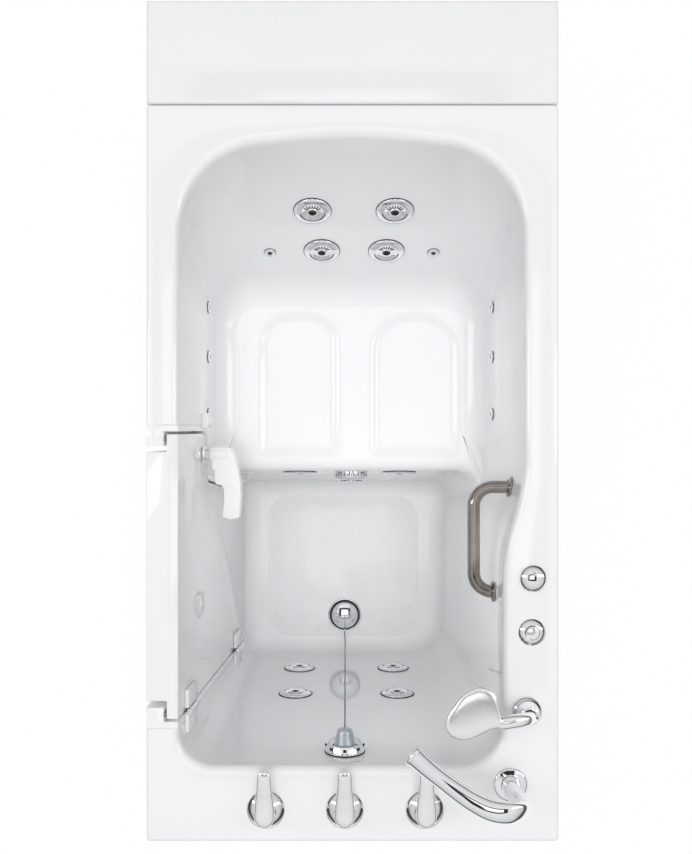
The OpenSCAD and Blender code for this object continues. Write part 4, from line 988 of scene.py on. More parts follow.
def tread_dots():
    bm = bmesh.new()
    x0, x1, y0, y1 = TREAD
    row, y = 0, y0 + 12
    while y < y1 - 10:
        x = x0 + 12 + (DOT_STEP / 2 if row % 2 else 0)
        while x < x1 - 10:
            side, end = min(x - x0, x1 - x), min(y - y0, y1 - y)
            in_corner = max(side, end) < TREAD_R and math.hypot(TREAD_R - side,
                    TREAD_R - end) > TREAD_R - DOT_EDGE
            clear = math.hypot(x - DRAIN_AT[0], y - DRAIN_AT[1]) > DOT_DRAIN
            if min(side, end) > DOT_EDGE and not in_corner and clear:
                base = at(x, y, FLOOR + TREAD_H)
                bmesh.ops.create_circle(bm, cap_ends=True, radius=DOT_R, segments=8, matrix=base)
            x += DOT_STEP
        y += DOT_STEP * 0.87
        row += 1
    faces = list(bm.faces)
    grown = bmesh.ops.extrude_discrete_faces(bm, faces=faces)["faces"]
    for face in grown:
        middle = face.calc_center_median()
        for vert in face.verts:
            vert.co = middle + (vert.co - middle) * DOT_TOP + Vector((0, 0, DOT_H))
    print("tread dots", len(grown))
    return bm


tread = make_piece("tread_pad", tread_pad(), "tub", GELCOAT)
make_piece("tread_dots", tread_dots(), "tub", GELCOAT, angle=60)
cut_away(tread, [round_cutter(at(*DRAIN_AT, 0), DRAIN_HOLE_R, 60, 200)])

# %% [markdown]
# ## The door, its frame and its seal
#
# The door is a thick core with a wider lip on the wet side, so the water presses the lip against
# a soft seal. The frame's own copies already have the right outline. Their edges get a soft
# radius, as gelcoat never stays on a sharp corner.

# %% Door pieces from the frame
dressed_copy("door_frame", "tub", GELCOAT, 0.4)
dressed_copy("door_panel", "door", DOOR_WHITE, 2.0, 3)
dressed_copy("door_cover", "door", DOOR_WHITE, 0.8)
dressed_copy("door_gasket", "tub", RUBBER, 1.0)
print("door in place")

# %% [markdown]
# ## Hinges
#
# Two hinges stand in the corner of the basin. Each leaf is a white enamelled block; the knuckles
# are bright and stacked round a pin with round caps. A knuckle is a short turned tube with a
# small chamfer at each end, so the three knuckles of a hinge read apart.

# %% Leaves, knuckles and pins
HINGE_U, HINGE_Z, HINGE_H, HINGE_W = -541.0, (867.5, 311.5), 83.0, 10.0
KNUCKLE_R, LEAF_L, LEAF_T = 5.5, 34.0, 8.0
SEGMENT = (HINGE_H - 2) / 3


def on_hinge(z):
    return on_door_wall() @ at(HINGE_U, low(z) - HINGE_H / 2, HINGE_W) @ turn(-90, "X")


def hinge_leaves(side, body, name):
    """side -1 is the leaf on the frame, +1 the leaf on the door."""
    white, bright = bmesh.new(), bmesh.new()
    leaf_top = HINGE_W - 0.3
    for z in HINGE_Z:
        m = on_hinge(z)
        if side < 0:
            block(white, -KNUCKLE_R - LEAF_L, -KNUCKLE_R, leaf_top - LEAF_T, leaf_top, 0, HINGE_H, m,
                  1.8)
            stack = [(0, SEGMENT), (HINGE_H - SEGMENT, HINGE_H)]
        else:
            block(white, KNUCKLE_R + 0.5, KNUCKLE_R + 0.5 + LEAF_L, leaf_top - LEAF_T, leaf_top, 0,
                  HINGE_H, m, 1.8)
            stack = [(SEGMENT + 1, 2 * SEGMENT + 1)]
        for z0, z1 in stack:
            turned(bright, [(3.1, z0), (KNUCKLE_R - 0.7, z0), (KNUCKLE_R, z0 + 0.7),
                            (KNUCKLE_R, z1 - 0.7), (KNUCKLE_R - 0.7, z1), (3.1, z1)], m)
            x0, x1 = (-KNUCKLE_R - 1, -1.5) if side < 0 else (1.5, KNUCKLE_R + 1)
            block(bright, x0, x1, leaf_top - 5, leaf_top - 0.4, z0 + 0.5, z1 - 0.5, m, 0.5, 2)
    replaced = "hinge_frame_leaves" if side < 0 else "hinge_door_leaves"
    make_piece(name, white, body, HINGE_WHITE, [replaced])
    bright_piece(name + "_knuckles", bright, body)


def hinge_pin_caps():
    bm = bmesh.new()
    for z in HINGE_Z:
        m = on_hinge(z)
        turned(bm, [(0, -4), (3.6, -4), (4.6, -3.2), (5, -2.2), (5, -1.2), (4.6, -1), (3, -1),
                    (3, HINGE_H + 1), (4.6, HINGE_H + 1), (5, HINGE_H + 1.2), (5, HINGE_H + 2.4),
                    (4.2, HINGE_H + 3.6), (2, HINGE_H + 4), (0, HINGE_H + 4)], m)
    bright_piece("hinge_pin_caps", bm, "tub", ["hinge_pins"])


hinge_leaves(-1, "tub", "hinge_leaves_on_frame")
hinge_leaves(1, "door", "hinge_leaves_on_door")
hinge_pin_caps()
print("hinges", len(HINGE_Z))

# %% [markdown]
# ## The latch
#
# The lever is one white moulding: a flat ended hub and a curved grip that stands clear of the
# door for a wet hand. Seen from above it is an outline, so it is drawn as one: a face with rounded
# corners, pulled up to its height and given soft edges. The bracket is plated, and the keeper on
# the frame is white like the door.

# %% Lever, bracket and keeper
LATCH_U, LATCH_Z = -66.0, 724.0
LEVER_OUTLINE = [(14, 20), (14, 60), (-8, 67), (-36, 74), (-58, 78), (-84, 78.5), (-110, 76.5),
                 (-128, 74.5), (-131, 56), (-126, 41), (-112, 43), (-90, 45), (-72, 44), (-63, 41),
                 (-60, 27), (-32, 25), (-30, 20)]
LEVER_RADII = [4, 10, 18, 30, 40, 40, 30, 3, 3, 3, 14, 30, 16, 6, 3, 2, 2]


def on_latch():
    return on_door_wall() @ at(LATCH_U, low(LATCH_Z), 0)


def rounded_plate(bm, points, radii, z0, z1, bevel, matrix, segments):
    """An outline pulled up from z0 to z1, with soft edges."""
    before = set(bm.verts)
    flat = bmesh.new()
    outline(flat, points, radii, 0.0, z0, 8)
    pull_up(flat, list(flat.faces), z1 - z0)
    bmesh.ops.recalc_face_normals(flat, faces=flat.faces)
    rims = [e for e in flat.edges if abs(e.verts[0].co.z - e.verts[1].co.z) < 1e-6]
    soften(flat, rims, bevel, segments)
    held = bpy.data.meshes.new("held")
    flat.to_mesh(held)
    flat.free()
    bm.from_mesh(held)
    bpy.data.meshes.remove(held)
    place(bm, matrix, [v for v in bm.verts if v not in before])


def latch_lever():
    bm = bmesh.new()
    stand_up = Matrix(((1, 0, 0, 0), (0, 0, 1, 0), (0, 1, 0, 0), (0, 0, 0, 1)))
    rounded_plate(bm, LEVER_OUTLINE, LEVER_RADII, -15.0, 15.0, 6.5, on_latch() @ stand_up, 5)
    turned(bm, [(6.3, 16.5), (17.2, 16.5), (18, 17.5), (18, 50), (16, 52.6), (12.5, 53.4), (6.3, 53.4)],
           on_latch(), 48)
    return bm


def latch_bracket_mesh():
    bm = bmesh.new()
    block(bm, -16, 16, -19, 19, 0.3, 4.3, on_latch(), 1.2)
    turned(bm, [(0, 4), (11, 4), (11, 14.8), (10, 15.7), (6, 15.7), (6, 54), (8.2, 54.3), (9, 55.2),
                (9, 56.4), (8, 57.3), (0, 57.3)], on_latch(), 40)
    for v in (-13, 13):
        turned(bm, [(0, 6.4), (2.4, 6.2), (3.6, 5.2), (3.8, 4.2)], on_latch() @ at(-10, v, 0), 20)
    return bm


make_piece("latch_lever", latch_lever(), "latch", HANDLE_WHITE, ["latch_handle"],
           angle=40)
make_piece("latch_bracket_plate", latch_bracket_mesh(), "door", CHROME, ["latch_bracket"])
dressed_copy("latch_keeper", "tub", DOOR_WHITE, 1.4, 3)
print("latch in place")

# %% [markdown]
# ## Water jets
#
# A jet is a bright ring clipped round a dished disc with a black nozzle. The disc turns to mix air
# in, and a fan of dark slots shows how far it is open. One lathe profile gives the ring, the
# groove and the dish; the slots and the nozzle are small dark pieces laid into it. The dark slots,
# a dark arc in the groove and a dark line round the ring are painted shade, and the nozzle's black
# also stands in for the shade inside its opening.

# %% Jet faces and their dark parts
BACK_JETS = ((-78, 782), (85, 782), (-62, 672), (72, 672))
FOOT_JETS = ((-124, 510), (102, 510), (-124, 300), (102, 300))
SEAT_JETS = ((-114, 498), (107, 498))
JET_PROFILE = [(37, 0.3), (37, 1.6), (36.4, 2.9), (35.2, 3.9), (33.2, 4.9), (30, 6.0), (27.6, 6.7),
               (26.4, 6.7), (25.8, 6.1), (25.5, 4.0), (24.3, 3.8), (24.0, 5.4), (23.4, 6.0),
               (22.2, 6.0), (19, 5.0), (15, 4.2), (11, 3.9), (10, 4.2), (9.4, 5.2), (8.8, 5.8),
               (8.2, 5.8), (7.9, 5.2), (7.8, 3.0), (7.8, -2), (17, -2), (17, -26), (20, -26), (20, 0.3)]
SLIT_PROFILE = [(24.35, 3.82), (25.45, 4.02), (25.45, 4.9), (24.2, 4.7)]
SLOTS, SLOT_FROM, SLOT_TO, SLIT_FROM, SLIT_TURN = 7, 36.0, 144.0, 195.0, 150.0


def jet(name, matrix, up, size):
    """A jet face, with its dark parts; up turns its fan of slots."""
    bright = bmesh.new()
    lathe(bright, [(r if r < 21 else r * size, z) for r, z in JET_PROFILE], 72, closed=True)
    place(bright, matrix @ turn(up, "Z"))
    bright_piece(name + "_face", bright, name + "_ring", [name])
    dark = bmesh.new()
    # The black nozzle, which also fills the opening with painted shade.
    turned(dark, [(0, 3.4), (3.2, 3.5), (3.8, 5.0), (6.2, 5.5), (7.5, 5.9), (7.7, 5.4), (7.6, 0),
                  (0, 0)], matrix @ turn(up, "Z"), 32)
    # A thin black line round the ring's edge at the wall: painted shade of the gap.
    turned(dark, [(37.2, 0.1), (38.2, 0.1), (38.0, 0.9), (36.9, 1.9)], matrix, 64)
    # Dark blocks for the air slots: painted shade inside the openings.
    for k in range(SLOTS):
        a = SLOT_FROM + (SLOT_TO - SLOT_FROM) * k / (SLOTS - 1)
        tilt = matrix @ turn(up + a, "Z") @ at(15.6, 0, 4.45) @ turn(-12, "Y")
        block(dark, -4.4, 4.6, -1.25, 1.25, -0.8, 0.75, tilt, 0.4, 1)
    # A dark arc in the groove between ring and disc: painted shade in the gap.
    before = set(dark.verts)
    verts = [dark.verts.new((r * size, 0, z)) for r, z in SLIT_PROFILE]
    ring = [dark.edges.new(p) for p in zip(verts, verts[1:] + verts[:1])]
    bmesh.ops.spin(dark, geom=verts + ring, cent=(0, 0, 0), axis=(0, 0, 1),
                   angle=math.radians(SLIT_TURN), steps=36)
    place(dark, matrix @ turn(up + SLIT_FROM, "Z"), [v for v in dark.verts if v not in before])
    dark_piece(name + "_dark_parts", dark, name + "_ring")


for wall, spots, on_wall, up, size in (("back", BACK_JETS, on_back_wall, 0, 1.0),
        ("foot", FOOT_JETS, on_foot_wall, 180, 0.97), ("seat", SEAT_JETS, on_seat_front, 0, 1.0)):
    for k, spot in enumerate(spots):
        jet(f"{wall}_jet_{k + 1}", on_wall(*spot), up, size)
print("jets", len(BACK_JETS) + len(FOOT_JETS) + len(SEAT_JETS))

# %% [markdown]
# ## Air jets and the suction cover
#
# Eight small air jets are set into the walls beside the seat and into the backrest. The wide cover
# between the seat's jets keeps hair and fingers out of the pump: a dome with long radial slots.

# %% Air jets, suction cover, and the housings behind the walls
SIDE_AIR, BACK_AIR = ((238, 670), (135, 670), (16, 670)), ((-170, 668), (170, 668))
AIR_PROFILE = [(0, 0.9), (12, 0.9), (12, 1.6), (11.4, 2.8), (9.4, 4.3), (7.4, 4.8), (6.2, 4.4),
               (5.4, 3.4), (4.6, 3.0), (0, 3.0)]


def air_places():
    for y, z in SIDE_AIR:
        yield on_left_wall(y, z)
        yield on_right_wall(y, z)
    for x, z in BACK_AIR:
        yield on_back_wall(x, z)


def air_jet_faces():
    bright, dark = bmesh.new(), bmesh.new()
    for m in air_places():
        turned(bright, AIR_PROFILE, m, 32)
        turned(bright, [(0, -26), (6.6, -26), (7, -25.4), (7, 1), (0, 1)], m, 24)
        nut = bmesh.ops.create_cone(bright, cap_ends=True, segments=6, radius1=11, radius2=11,
                                    depth=6)["verts"]
        place(bright, m @ at(0, 0, -SKIN - 3.6), nut)
        # A black disc in the jet's hole and a thin black ring round its rim: painted shade.
        turned(dark, [(0, 3.3), (1.6, 3.35), (2.0, 4.1), (3.8, 4.1), (4.7, 3.05)], m, 20)
        turned(dark, [(12, 0.3), (12.9, 0.3), (12.8, 1.1), (12, 1.5)], m, 28)
    bright_piece("air_jet_faces", bright, "tub", ["air_jets"])
    dark_piece("air_jet_painted_shade", dark)


def suction_dome():
    m = on_seat_front(0, 470)
    bright, dark = bmesh.new(), bmesh.new()
    turned(bright, [(36, 0.3), (36, 9), (35.2, 12), (33, 14.8), (29, 17), (24, 18), (10, 18), (8, 17.4),
                    (7, 16), (0, 16)], m, 72)
    turned(bright, [(23.9, 1), (23.9, -14.9), (33, -15.3), (33, -7), (36, -6.4), (36, 0.3)], m, 48)
    turned(bright, [(20.3, -50), (24, -50), (24, -15)], m, 48)
    # Dark blocks for the slots on top and round the side: painted shade inside the openings.
    for k in range(14):
        block(dark, 12, 26, -1.2, 1.2, 16.8, 18.35, m @ turn(360 * k / 14, "Z"), 0.4, 1)
    for k in range(28):
        block(dark, 34.6, 36.15, -1.1, 1.1, 2.6, 9, m @ turn(360 * k / 28, "Z"), 0.3, 1)
    bright_piece("suction_dome", bright, "tub", ["suction_cover"])
    dark_piece("suction_slot_shade", dark)


air_jet_faces()
suction_dome()
dressed_copy("jet_bodies", "tub", PIPE_WHITE, 0.8)
print("air jets", len(list(air_places())))

# %% [markdown]
# ## Overflow cover and drain
#
# The overflow cover is a plated cup on the foot wall, with slots round its side and a satin boss
# that the chain hangs from. The drain's flange is a dished ring set into the floor, and the plug
# sits in it.

# %% Turn the overflow cover and the drain's flange
BOSS_TIP = 43.0


def overflow():
    m = on_foot_wall(*OVERFLOW_AT)
    cup, boss, dark = bmesh.new(), bmesh.new(), bmesh.new()
    turned(cup, [(37.6, 2.4), (37.8, 4), (37, 6.5), (34.2, 15), (33.4, 16.8), (32.4, 17.3),
                 (31.3, 16.9), (30.6, 15.6), (29.4, 11), (27, 8.6), (20.2, 8), (20.2, 5), (36, 5),
                 (37.6, 2.4)], m, 64)
    turned(cup, [(0, -30), (19, -30), (19.4, -29), (19.4, 8), (0, 8)], m, 40)
    turned(cup, [(26, -SKIN - 1.2), (26, -SKIN - 10), (19.4, -SKIN - 10), (19.4, -SKIN - 1.2),
                 (26, -SKIN - 1.2)], m, 6)
    turned(boss, [(20, 8), (20, 15), (19.6, 16.5), (15, 36), (14.2, 39.5), (12.6, 41.8), (9, BOSS_TIP),
                  (5, BOSS_TIP), (0, BOSS_TIP)], m, 56)
    turned(boss, [(3.2, BOSS_TIP - 0.5), (3.2, BOSS_TIP + 0.4), (2.2, BOSS_TIP + 1.2),
                  (0, BOSS_TIP + 1.4)], m, 20)
    # A black ring round the cup's foot: painted contact shade against the wall.
    turned(dark, [(38.5, 0.3), (38.5, 2.2), (37.2, 2.6), (30, 2.6), (30, 0.3), (38.5, 0.3)], m, 56)
    # Dark blocks for the slots round the side and in the cup's floor: painted shade inside the
    # openings.
    for k in range(8):
        tilt = m @ turn(45 * k, "Z") @ at(35.6, 0, 10) @ turn(17, "Y")
        block(dark, -1.4, 1.0, -3.2, 3.2, -4.5, 4.5, tilt, 0.8, 2)
        block(dark, 21.5, 26.5, -2.2, 2.2, 7.4, 8.4, m @ turn(45 * k + 22, "Z"), 0.6, 2)
    bright_piece("overflow_cup", cup, "tub", ["overflow_cover"])
    make_piece("overflow_boss", boss, "tub", BOSS_GREY)
    dark_piece("overflow_painted_shade", dark)


def drain():
    centre = at(*DRAIN_AT, 0)
    ring = bmesh.new()
    turned(ring, [(22, 113), (25.5, 113), (25.5, 129.6), (43.5, 129.6), (43.4, 130.6), (42.4, 131.9),
                  (40.4, 132.5), (38.2, 132.2), (34, 130.6), (27, 129.4), (23.4, 128), (22, 125.4),
                  (22, 113)], centre, 72)
    for k in range(2):
        block(ring, -22.4, 22.4, -1.3, 1.3, 114, 117, centre @ turn(90 * k + 20, "Z"), 0.5, 2)
    bright_piece("drain_ring", ring, "tub", ["drain_flange"])


overflow()
drain()
print("drain and overflow in place")

# %% [markdown]
# ## Taps
#
# Three domed escutcheons stand in a row at the foot end, for hot, for the diverter and for cold.
# Each carries a lever shaped like a drop: broad and round over the valve, narrower towards its
# tip, which points at the bather and rises a little.

# %% Escutcheons and levers
LEVER_X, LEVER_Y = {"hot": -157.0, "diverter": -14.0, "cold": 131.0}, -704.0
HUB_R, TIP_R, TIP_Y, HUB_Z, TIP_RISE = 18.4, 12.6, 73.0, 1006.0, 9.0


def escutcheon(name, centre):
    bm = bmesh.new()
    turned(bm, [(34.6, 965.3), (34.9, 966.2), (34.6, 967.2), (33.2, 968.7), (31.4, 970.4),
                (29.2, 972.3), (26.8, 974.2), (24, 976), (21.6, 977.2), (20, 978.2), (19.2, 980),
                (19, 991), (18.2, 992.1), (14, 992.3), (14, 965.3), (34.6, 965.3)], centre, 72)
    bright_piece(name + "_dome", bm, "tub", [name + "_escutcheon"])


def drop_lever(name, centre):
    """Rings across the lever: half width from a drop outline, half height easing to the tip."""
    bm, neck = bmesh.new(), bmesh.new()
    rings = []
    low_y, high_y = -HUB_R, TIP_Y + TIP_R
    for k in range(49):
        t = math.sin(math.pi * (k / 48 - 0.5))
        y = (low_y + high_y) / 2 + (high_y - low_y) / 2 * t
        if y < 0:
            wide = math.sqrt(max(0.0, HUB_R ** 2 - y ** 2))
        elif y > TIP_Y:
            wide = math.sqrt(max(0.0, TIP_R ** 2 - (y - TIP_Y) ** 2))
        else:
            wide = HUB_R + (TIP_R - HUB_R) * smooth(y / TIP_Y)
        share = smooth(max(0.0, y) / high_y)
        full = HUB_R if y < 40 else TIP_R
        thick = (7.0 - 2.6 * share) * math.sqrt(max(0.0, min(1.0, wide / full))) + 0.02
        middle = Vector((0, y, HUB_Z + TIP_RISE * share))
        rings.append(ring_on(middle, Vector((0, 1, 0)), Vector((1, 0, 0)), wide + 0.02, thick, 36, 0.9))
    loft(bm, rings)
    place(bm, centre)
    turned(neck, [(0, 992.6), (14.2, 992.6), (14.8, 993.4), (15.2, 997), (16, 1001), (15.4, 1004),
                  (0, 1005)], centre, 48)
    make_piece(name + "_drop_lever", bm, name + "_tap", SATIN_CHROME, [name + "_lever"],
               angle=50)
    bright_piece(name + "_lever_neck", neck, name + "_tap")


for tap, x in LEVER_X.items():
    escutcheon(tap, at(x, LEVER_Y, 0))
    drop_lever(tap, at(x, LEVER_Y, 0))
dressed_copy("valve_bodies", "tub", BRASS, 0.9)
print("taps", len(LEVER_X))

# %% [markdown]
# ## Spout
#
# One cast sweep: it stands up from its flange, bends over and runs out over the basin, flat and
# broad at the bend and rounder at the mouth. A thin ring and a dark screen close the mouth.

# %% Sweep the spout
SPOUT_PATH = [(286, -658, 966), (286, -658, 1000), (287, -658, 1040), (290, -658, 1075),
              (287, -658, 1102), (272, -657, 1116), (252, -656, 1120), (229, -652, 1118),
              (205, -642, 1113), (182, -629, 1107), (153, -610, 1098), (128, -593, 1087),
              (102, -573, 1074)]
SPOUT_HALF_W = [17, 16, 16, 16.5, 18, 18.8, 19, 18.6, 17.4, 16.6, 15.4, 16.2, 17.6]
SPOUT_HALF_T = [17, 15, 13, 11.5, 10.6, 10.2, 10.4, 10.8, 11, 11.2, 11.4, 11.8, 12.4]
SPOUT_SIDE, SPOUT_FOOT = (0.436, 0.9, 0.0), (286, -658, 0)
SPOUT_LIP = [(-6.4, 17, 11.9), (-6, 18.4, 13.2), (-5, 18.9, 13.7), (-1.4, 18.9, 13.7), (0.4, 18.2, 13),
             (1.3, 16.6, 11.8), (1.5, 14, 10.8)]


def spout():
    bm, mouth = bmesh.new(), bmesh.new()
    path = curve_through(SPOUT_PATH, 8)
    count = len(path)
    sweep(bm, path, SPOUT_SIDE, spread(SPOUT_HALF_W, count), spread(SPOUT_HALF_T, count), 40, 0.92)
    turned(bm, [(17.5, 966.2), (17.5, 972), (19, 971.4), (27, 970.6), (29.6, 969.4), (30.5, 967.4),
                (30.5, 965.3), (17.5, 965.3)], at(*SPOUT_FOOT), 64)
    tip, way = path[-1], (path[-1] - path[-2]).normalized()
    tilt = at(*tip) @ way.to_track_quat("Z", "Y").to_matrix().to_4x4()
    loft(bm, [ring_on(tip + way * s, way, Vector(SPOUT_SIDE), w, h, 40, 0.92) for s, w, h in SPOUT_LIP])
    turned(bm, [(9.4, -0.5), (9.4, 2.2), (10.2, 2.6), (11, 2.2), (11, -0.5)], tilt, 40)
    turned(mouth, [(0, 0.6), (9.2, 0.6), (9.2, 1.7), (8, 1.9), (0, 1.9)], tilt, 32)
    for k in range(-3, 4):
        half = math.sqrt(64 - (2.2 * k) ** 2)
        block(mouth, -half, half, 2.2 * k - 0.35, 2.2 * k + 0.35, 1.7, 2.4, tilt, 0.2, 1)
    make_piece("spout_sweep", bm, "tub", CHROME, ["spout"], angle=50)
    dark_piece("spout_screen", mouth)


spout()
print("spout reaches", round(SPOUT_FOOT[0] - SPOUT_PATH[-1][0]), "mm over the basin")

# %% [markdown]
# ## Hand shower
#
# The hand shower stands in a domed holder. Its neck comes up out of the holder, turns level and
# opens into a broad fan with a soft edge. The fan is lofted through slices taken square to the
# neck, each with its own middle and half width.

# %% The neck, the fan and the spray face
HOLDER_AT = (316.0, -526.0)
NECK = [(316, -526, 977, 9.5, 9.5), (316, -526, 1000, 9.6, 9.6), (315, -525.8, 1010, 10.6, 10.6),
        (311, -525.3, 1020, 11.8, 11.4), (303, -524.8, 1028, 12.6, 11.2), (292, -525, 1033, 12.6, 10.4),
        (279, -526.3, 1035, 12.4, 9.6), (266, -528.6, 1035.4, 12.2, 9.0),
        (257.5, -528.8, 1035.4, 11.5, 8.8)]
FAN = [(252, -486, -538.3), (248.4, -475.5, -539.2), (241.4, -468.5, -540.6), (231, -465.9, -546.2),
       (218.7, -464.5, -551.9), (204.8, -470.2, -557.5), (194.3, -475.5, -559.3),
       (185.6, -484.2, -558.6), (171.6, -503.4, -552.3), (164.6, -517.4, -545.3), (161.1, -527.4, -533)]
FAN_Z, FAN_HALF_T, SPRAY_AT = 1035.0, 8.0, (205, -513, 0)
SPRAY_RINGS = ((5, 6), (10, 12), (15, 18))


def shower_holder():
    bm = bmesh.new()
    turned(bm, [(10.3, 965.6), (27, 965.6), (27.2, 967), (26.4, 969.4), (24.4, 971.6), (21.4, 973.4),
                (19.6, 976), (18.6, 986), (17.4, 996), (16.4, 998.8), (14.6, 999.6), (11.4, 999),
                (10.3, 997), (10.3, 965.6)], at(*HOLDER_AT, 0), 56)
    bright_piece("holder_cup", bm, "tub", ["shower_holder"])


def hand_shower():
    bm = bmesh.new()
    rings = []
    last = len(NECK) - 1
    for k, (x, y, z, wide, thick) in enumerate(NECK):
        ahead, behind = NECK[min(k + 1, last)], NECK[max(k - 1, 0)]
        along = Vector((ahead[0] - behind[0], 0, ahead[2] - behind[2]))
        rings.append(ring_on(Vector((x, y, z)), along, Vector((0, 1, 0)), wide, thick, 40, 0.9))
    for x, y1, y0 in FAN:
        thick = FAN_HALF_T * min(1.0, 0.3 + 0.7 * (y1 - y0) / 40)
        rings.append(ring_on(Vector((x, (y0 + y1) / 2, FAN_Z + 0.4 * (8 - thick))), Vector((-1, 0, 0)),
                             Vector((0, 1, 0)), (y1 - y0) / 2, thick, 40, 0.62))
    loft(bm, rings)
    return bm


def spray_face():
    face, nozzles = bmesh.new(), bmesh.new()
    centre = at(*SPRAY_AT)
    turned(face, [(0, 1027.4), (22, 1027.4), (22, 1023), (21.4, 1021.8), (20, 1021.2), (0, 1021.4)],
           centre, 56)
    for ring, count in SPRAY_RINGS:
        for k in range(count):
            turned(nozzles, [(0, 1019.9), (0.9, 1019.9), (1.1, 1020.2), (1.3, 1021.6)], centre
                   @ turn(360 * k / count, "Z") @ at(ring, 0, 0), 8)
    make_piece("spray_disc", face, "shower", SPRAY_GREY, ["shower_face"])
    dark_piece("spray_nozzles", nozzles, "shower")


shower_holder()
make_piece("fan_shower", hand_shower(), "shower", FAN_CHROME, ["hand_shower"], angle=60)
spray_face()
print("spout and hand shower in place")

# %% [markdown]
# ## Air dial, push button and grab bar
#
# The dial is a low dome with a short ridge that points to its setting. The push button sits in a
# bright ring. The bar is one bent tube of polished steel on two small flanges.

# %% The dial, the button and the bar
DIAL_AT, BUTTON_AT = (327.0, -285.0), (325.0, -383.0)
BAR_R, BAR_BEND, BAR_X, BAR_Z, BAR_Y = 12.0, 36.0, 231.0, 865.0, (-125.0, -324.0)


def dial():
    base, top = bmesh.new(), bmesh.new()
    turned(base, [(0, 965.3), (24, 965.3), (24.2, 966.4), (23.8, 968.8), (22.6, 970.3), (0, 970.3)],
           at(*DIAL_AT, 0), 64)
    turned(top, [(0, 970.6), (22.8, 970.6), (23.6, 971.2), (23.8, 972), (22.6, 973.2), (20.8, 974.8),
                 (18.6, 976.4), (15.5, 978), (11, 979.4), (6, 980.1), (0, 980.4)], at(*DIAL_AT, 0), 64)
    rounded_plate(top, [(-2.2, 5), (2.2, 5), (2.2, 18.5), (-2.2, 18.5)], [2] * 4, 974, 982.4, 0.8,
                  at(*DIAL_AT, 0), 3)
    bright_piece("dial_seat", base, "tub", ["dial_base"])
    bright_piece("dial_knob", top, "dial", ["air_dial"])


def push_button():
    ring, top = bmesh.new(), bmesh.new()
    turned(ring, [(12.6, 965.3), (24, 965.3), (24.2, 966.2), (23.4, 967), (22, 968.3), (20.6, 969.5),
                  (18.5, 970.9), (16.4, 971.9), (14.6, 972.6), (13.4, 972.8), (12.6, 971.8),
                  (12.6, 965.3)], at(*BUTTON_AT, 0), 64)
    turned(top, [(0, 969.2), (11.6, 969.2), (12, 969.8), (12, 972.6), (11.2, 973.8), (9, 974.4),
                 (0, 974.6)], at(*BUTTON_AT, 0), 48)
    bright_piece("button_collar", ring, "tub", ["button_ring"])
    make_piece("button_top", top, "button", FAN_CHROME, ["air_button"])


def bend(points, r, steps):
    """A path of straight runs whose corners are rounded to one radius."""
    pts = [Vector(p) for p in points]
    out = [pts[0]]
    for a, p, b in zip(pts, pts[1:], pts[2:]):
        into, away = (p - a).normalized(), (b - p).normalized()
        half = into.angle(away) / 2
        start = p - into * r * math.tan(half)
        centre = start + (away - into.dot(away) * into).normalized() * r
        axis = into.cross(away)
        for k in range(steps + 1):
            out.append(centre + Matrix.Rotation(2 * half * k / steps, 3, axis) @ (start - centre))
    out.append(pts[-1])
    return out


def grab_bar():
    bm = bmesh.new()
    ends = [right_x(y, BAR_Z) + SKIN + 10 for y in BAR_Y]
    path = bend([(ends[0], BAR_Y[0], BAR_Z), (BAR_X, BAR_Y[0], BAR_Z), (BAR_X, BAR_Y[1], BAR_Z),
                 (ends[1], BAR_Y[1], BAR_Z)], BAR_BEND, 12)
    sweep(bm, path, (0, 0, 1), [BAR_R] * len(path), [BAR_R] * len(path), 32)
    for y in BAR_Y:
        wall = on_right_wall(y, BAR_Z)
        turned(bm, [(0, 1.2), (19, 1.2), (19.2, 2.4), (18.4, 4.2), (16.6, 5.2), (13.6, 6), (12.6, 7.6),
                    (11.6, 8)], wall, 48)
    # Its finish is dark brown: painted reflection in the polished steel.
    make_piece("grab_bar_tube", bm, "tub", BAR_STEEL_PAINTED_REFLECTION, ["grab_bar"], angle=40)


dial()
push_button()
grab_bar()
print("dial, button and grab bar in place")

# %% [markdown]
# ## The deck's extension and the skirts
#
# A plain strip lengthens the tub to fill its alcove. It and the skirts below the rim are flat
# mouldings. The access panel over the pump is a lid with four screws.

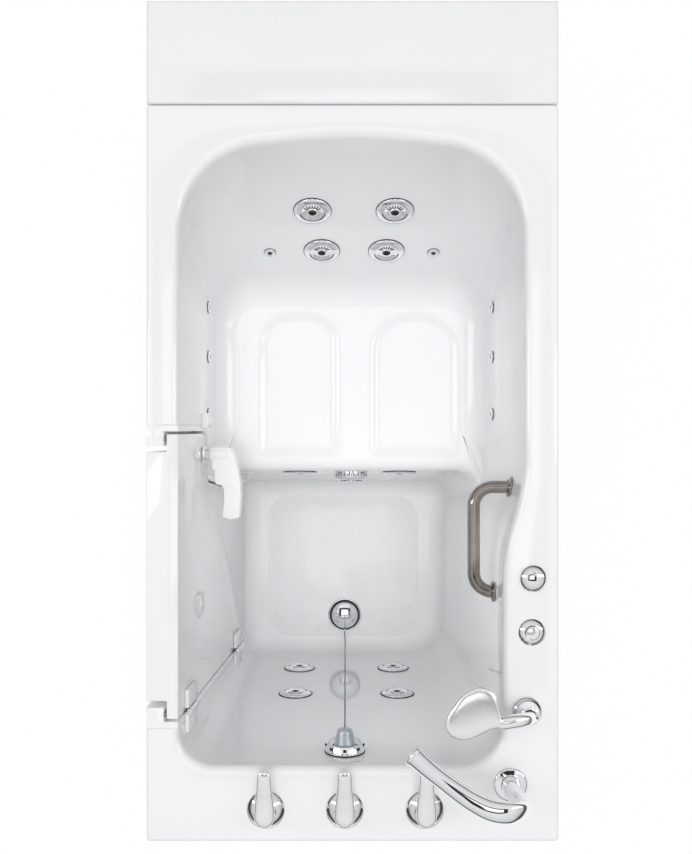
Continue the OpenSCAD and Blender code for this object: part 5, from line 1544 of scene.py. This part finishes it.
# %% Extension, skirts and access panel
PANEL_FACE, SCREW_Y, SCREW_Z = -371.0, (62, 398), (202, 528)


def panel_screws():
    """Four cross-head screws, one at each corner of the access panel."""
    heads, slots = bmesh.new(), bmesh.new()
    for y in SCREW_Y:
        for z in SCREW_Z:
            m = at(PANEL_FACE, y, z) @ turn(-90, "Y")
            turned(heads, [(0, 0.1), (6, 0.1), (6, 0.9), (5.4, 1.5), (4, 2), (0, 2.2)], m, 24)
            # Two crossed dark bars in each head: painted shade in the cross recess.
            for k in range(2):
                block(slots, -2.6, 2.6, -0.5, 0.5, 1.9, 2.4, m @ turn(45 + 90 * k, "Z"), 0.1, 1)
    make_piece("panel_screws", heads, "access", ZINC)
    dark_piece("panel_screw_recess_shade", slots, "access")


dressed_copy("extension_deck", "tub", SKIRT_WHITE, 1.2, 3)
for node, body in (("front_skirt", "tub"), ("extension_skirt", "tub"), ("access_panel", "access")):
    dressed_copy(node, body, SKIRT_WHITE, 0.8)
panel_screws()
print("screws in the access panel", len(SCREW_Y) * len(SCREW_Z))

# %% [markdown]
# ## The steel base
#
# Square tubes are welded into a frame that stands on six levelling feet. The tubes are coated
# grey, and the feet and nuts are zinc plated.

# %% Frame, feet and nuts
for node, bevel in (("base_rails", 1.2), ("uprights", 1.0), ("floor_bearers", 0.9)):
    dressed_copy(node, "tub", FRAME_STEEL, bevel)
for node, bevel in (("levelling_feet", 0.6), ("lock_nuts", 0.8)):
    dressed_copy(node, "tub", ZINC, bevel)
print("frame in place")

# %% [markdown]
# ## Pump, blower and pipes
#
# The pump stands under the seat with its motor beside it, and the air blower stands apart. The
# pipes are white plastic with a round fitting at each corner.

# %% Machines and pipework
dressed_copy("pump_wet_end", "tub", PUMP_BLACK, 1.2)
dressed_copy("pump_motor", "tub", MOTOR_PAINT, 1.2)
dressed_copy("air_blower", "tub", PUMP_BLACK, 1.4)
for pipe in ("suction_pipe", "water_pipes", "air_pipe", "waste_pipe"):
    dressed_copy(pipe, "tub", PIPE_WHITE, 0.6)
